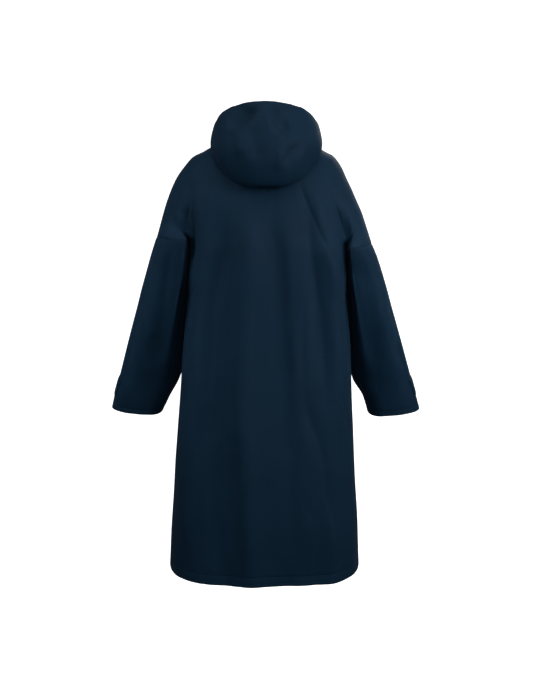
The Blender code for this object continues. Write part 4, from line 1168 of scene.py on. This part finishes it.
def add_zip(fronts, hoods):
    """The zip's tape inside both front edges and up the hood, and its teeth along the middle."""
    columns = [zip_line(fronts, hoods, offset) for offset in TAPE_OFFSETS]
    order = [left for left, _ in columns] + [right for _, right in reversed(columns)]
    grid = np.stack([points for points, _ in order], axis=1)
    ways = np.stack([ways for _, ways in order], axis=1)
    walked = lengths_along(grid[:, 0])
    cloth = sheet_cloth(grid, ways, grid[..., 0], walked[:, None], TAPE_WALL)
    tape = add_cloth("zip_tape", cloth, outer="tape", inner="tape")
    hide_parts("zip")
    (left, ways), (right, _) = columns[-1]
    middle = (left + right) / 2
    walked = lengths_along(middle)
    half_width, length = TOOTH_SIZE
    points = []
    faces = []
    places = np.arange(TEETH_START, walked[-1] - TEETH_END, TEETH_PITCH)
    for number, place in enumerate(places):
        faces.extend(three_rings(len(points), len(TOOTH_OUTLINE)))
        spot = between(place, walked, middle)
        away = unit(between(place, walked, ways))
        ahead = unit(np.cross(away, np.array([1.0, 0, 0])))
        side = 1 if number % 2 else -1
        for height, size in TOOTH_RINGS:
            for across, along in TOOTH_OUTLINE:
                beside = np.array([-side * (across * size * half_width - TOOTH_SHIFT), 0, 0])
                points.append(spot + beside + ahead * along * size * length + away * height)
    mesh = new_mesh("zip_teeth", points, faces, "teeth")
    face_outward(mesh)
    teeth = add_object("zip_teeth", mesh)
    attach(teeth, "robe")


# The cloth pieces.
back_cloth = joined(*[body_cloth(side, BACK, BACK_PLACES) for side in (LEFT, RIGHT)])
back = add_cloth("robe_back", back_cloth)
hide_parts("back")

fronts = {side: body_cloth(side, FRONT, FRONT_PLACES) for side in (LEFT, RIGHT)}
sleeves = {side: sleeve_cloth(side) for side in (LEFT, RIGHT)}
hoods = meeting(hood_cloth(LEFT), hood_cloth(RIGHT))
for side, name in SIDE_NAMES.items():
    front = add_cloth("robe_front_" + name, fronts[side])
    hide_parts("front_" + name)
    sleeve = add_cloth("robe_sleeve_" + name, sleeves[side], period=2 * SLEEVE_CLOTH_WIDTH)
    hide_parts("sleeve_" + name)
    hood = add_cloth("robe_hood_" + name, hoods[side])
    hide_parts("hood_" + name)
    tab = add_cloth("robe_cuff_tab_" + name, cuff_tab_cloth(sleeves[side]))
    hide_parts("cuff_tab_" + name)

# Stitches at the hem, cuffs and armholes. The back's row stops short of the arms' columns.
hem_level = HEM_LEVEL - HEM_ALLOWANCE
arm_columns = len(ARM_PLACES)
back_end = back_cloth.points.shape[1] - arm_columns
hem_lines = [row_line(back_cloth, hem_level, BODY_LEVELS, arm_columns - 1, back_end)]
for side in (LEFT, RIGHT):
    hem_lines.append(row_line(fronts[side], hem_level, BODY_LEVELS, 1, len(FRONT_PLACES) - 1))
add_stitches("hem_stitches", hem_lines)
for side, name in SIDE_NAMES.items():
    for seam, level in (
        ("cuff", CUFF_LEVEL - CUFF_ALLOWANCE),
        ("armhole", ARMHOLE_LEVEL + ARMHOLE_ALLOWANCE),
    ):
        line = row_line(sleeves[side], level, SLEEVE_LEVELS)
        add_stitches(seam + "_stitches_" + name, [line])

add_zip(fronts, hoods)

for node in ("slider", "pull_tab"):
    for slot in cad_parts[node].material_slots:
        slot.material = MATERIALS["metal"]

# The floor runs up into a backdrop, both plain and pale.
FLOOR_LEVEL = -1.50
FLOOR_HALF_WIDTH = 9.0
FLOOR_START = -6.0
BACKDROP_START = 2.6
BACKDROP_RADIUS = 1.6
BACKDROP_TOP = 6.0
FLOOR_COLOUR = (0.9, 0.9, 0.9, 1)
FLOOR_ROUGHNESS = 0.9
FLOOR_GLOW = 0.9


def add_stage():
    """The floor and backdrop, seen only by the camera and in shadows."""
    profile = [(FLOOR_START, FLOOR_LEVEL), (BACKDROP_START, FLOOR_LEVEL)]
    for angle in np.linspace(0, math.pi / 2, 13)[1:]:
        y = BACKDROP_START + BACKDROP_RADIUS * math.sin(angle)
        profile.append((y, FLOOR_LEVEL + BACKDROP_RADIUS * (1 - math.cos(angle))))
    profile.append((BACKDROP_START + BACKDROP_RADIUS, BACKDROP_TOP))
    points = [(x, y, z) for x in (-FLOOR_HALF_WIDTH, FLOOR_HALF_WIDTH) for y, z in profile]
    count = len(profile)
    faces = [(k, k + 1, k + 1 + count, k + count) for k in range(count - 1)]
    mesh = new_mesh("studio_floor", points, faces)
    mesh.shade_smooth()
    look = Look("studio_floor")
    inputs = {
        "Base Color": FLOOR_COLOUR,
        "Roughness": FLOOR_ROUGHNESS,
        "Emission Color": (1, 1, 1, 1),
        "Emission Strength": FLOOR_GLOW,
    }
    look.fill(look.shader, inputs)
    mesh.materials.append(look.material)
    floor = add_object("studio_floor", mesh)
    floor.visible_diffuse = False
    floor.visible_glossy = False


def add_light(name, place, target, size, power, spread=180):
    """A rectangle of light that looks at a target."""
    light = bpy.data.lights.new(name, "AREA")
    light.shape = "RECTANGLE"
    light.size, light.size_y = size
    light.energy = power
    light.spread = math.radians(spread)
    lamp = add_object(name, light)
    lamp.location = place
    lamp.rotation_euler = (Vector(target) - Vector(place)).to_track_quat("-Z", "Y").to_euler()


add_stage()
add_light("key", (1.9, -1.6, 0.6), (0, 0, -0.5), (0.9, 1.1), 25)
add_light("front", (0.0, -2.2, 0.1), (0, 0, -0.5), (1.2, 1.2), 8)
add_light("left", (-1.7, -0.8, 1.1), (0, 0, -0.4), (0.8, 1.0), 9)
add_light("right", (2.6, -0.4, 1.0), (0, 0, -0.4), (1.2, 1.8), 10)
add_light("left_sleeve", (-1.6, -1.0, 0.0), (-0.36, 0, -0.48), (0.5, 0.5), 0.5, 36)
add_light("right_sleeve", (2.0, -0.9, 0.1), (0.38, 0, -0.40), (0.5, 0.5), 0.4, 26)
add_light("top", (0.0, -1.2, 2.6), (0, 0, -0.5), (2.0, 1.6), 30)
add_light("far_side", (1.0, 3.6, 1.6), (0, 0, -0.5), (2.0, 2.0), 80)
world = bpy.data.worlds.new("studio")
bpy.context.scene.world = world
world.use_nodes = True
background = world.node_tree.nodes["Background"]
background.inputs["Color"].default_value = (0.95, 0.97, 1.0, 1)
background.inputs["Strength"].default_value = 0.085

# The camera looks down a little, as in the photograph. Its focal length is given in pixels of the
# picture's height.
PICTURE_HEIGHT = 690
FOCAL_LENGTH = 1256
SENSOR = 36
LOOKING_DOWN = 4.9
camera_data = bpy.data.cameras.new("camera")
camera_data.sensor_width = SENSOR
camera_data.lens = SENSOR * FOCAL_LENGTH / PICTURE_HEIGHT
camera_data.clip_end = 60
camera = add_object("camera", camera_data)
camera.location = (0.0149, -3.4, -0.26)
camera.rotation_euler = (math.radians(90 - LOOKING_DOWN), 0, 0)
bpy.context.scene.camera = camera
bpy.context.scene.view_settings.view_transform = "Standard"
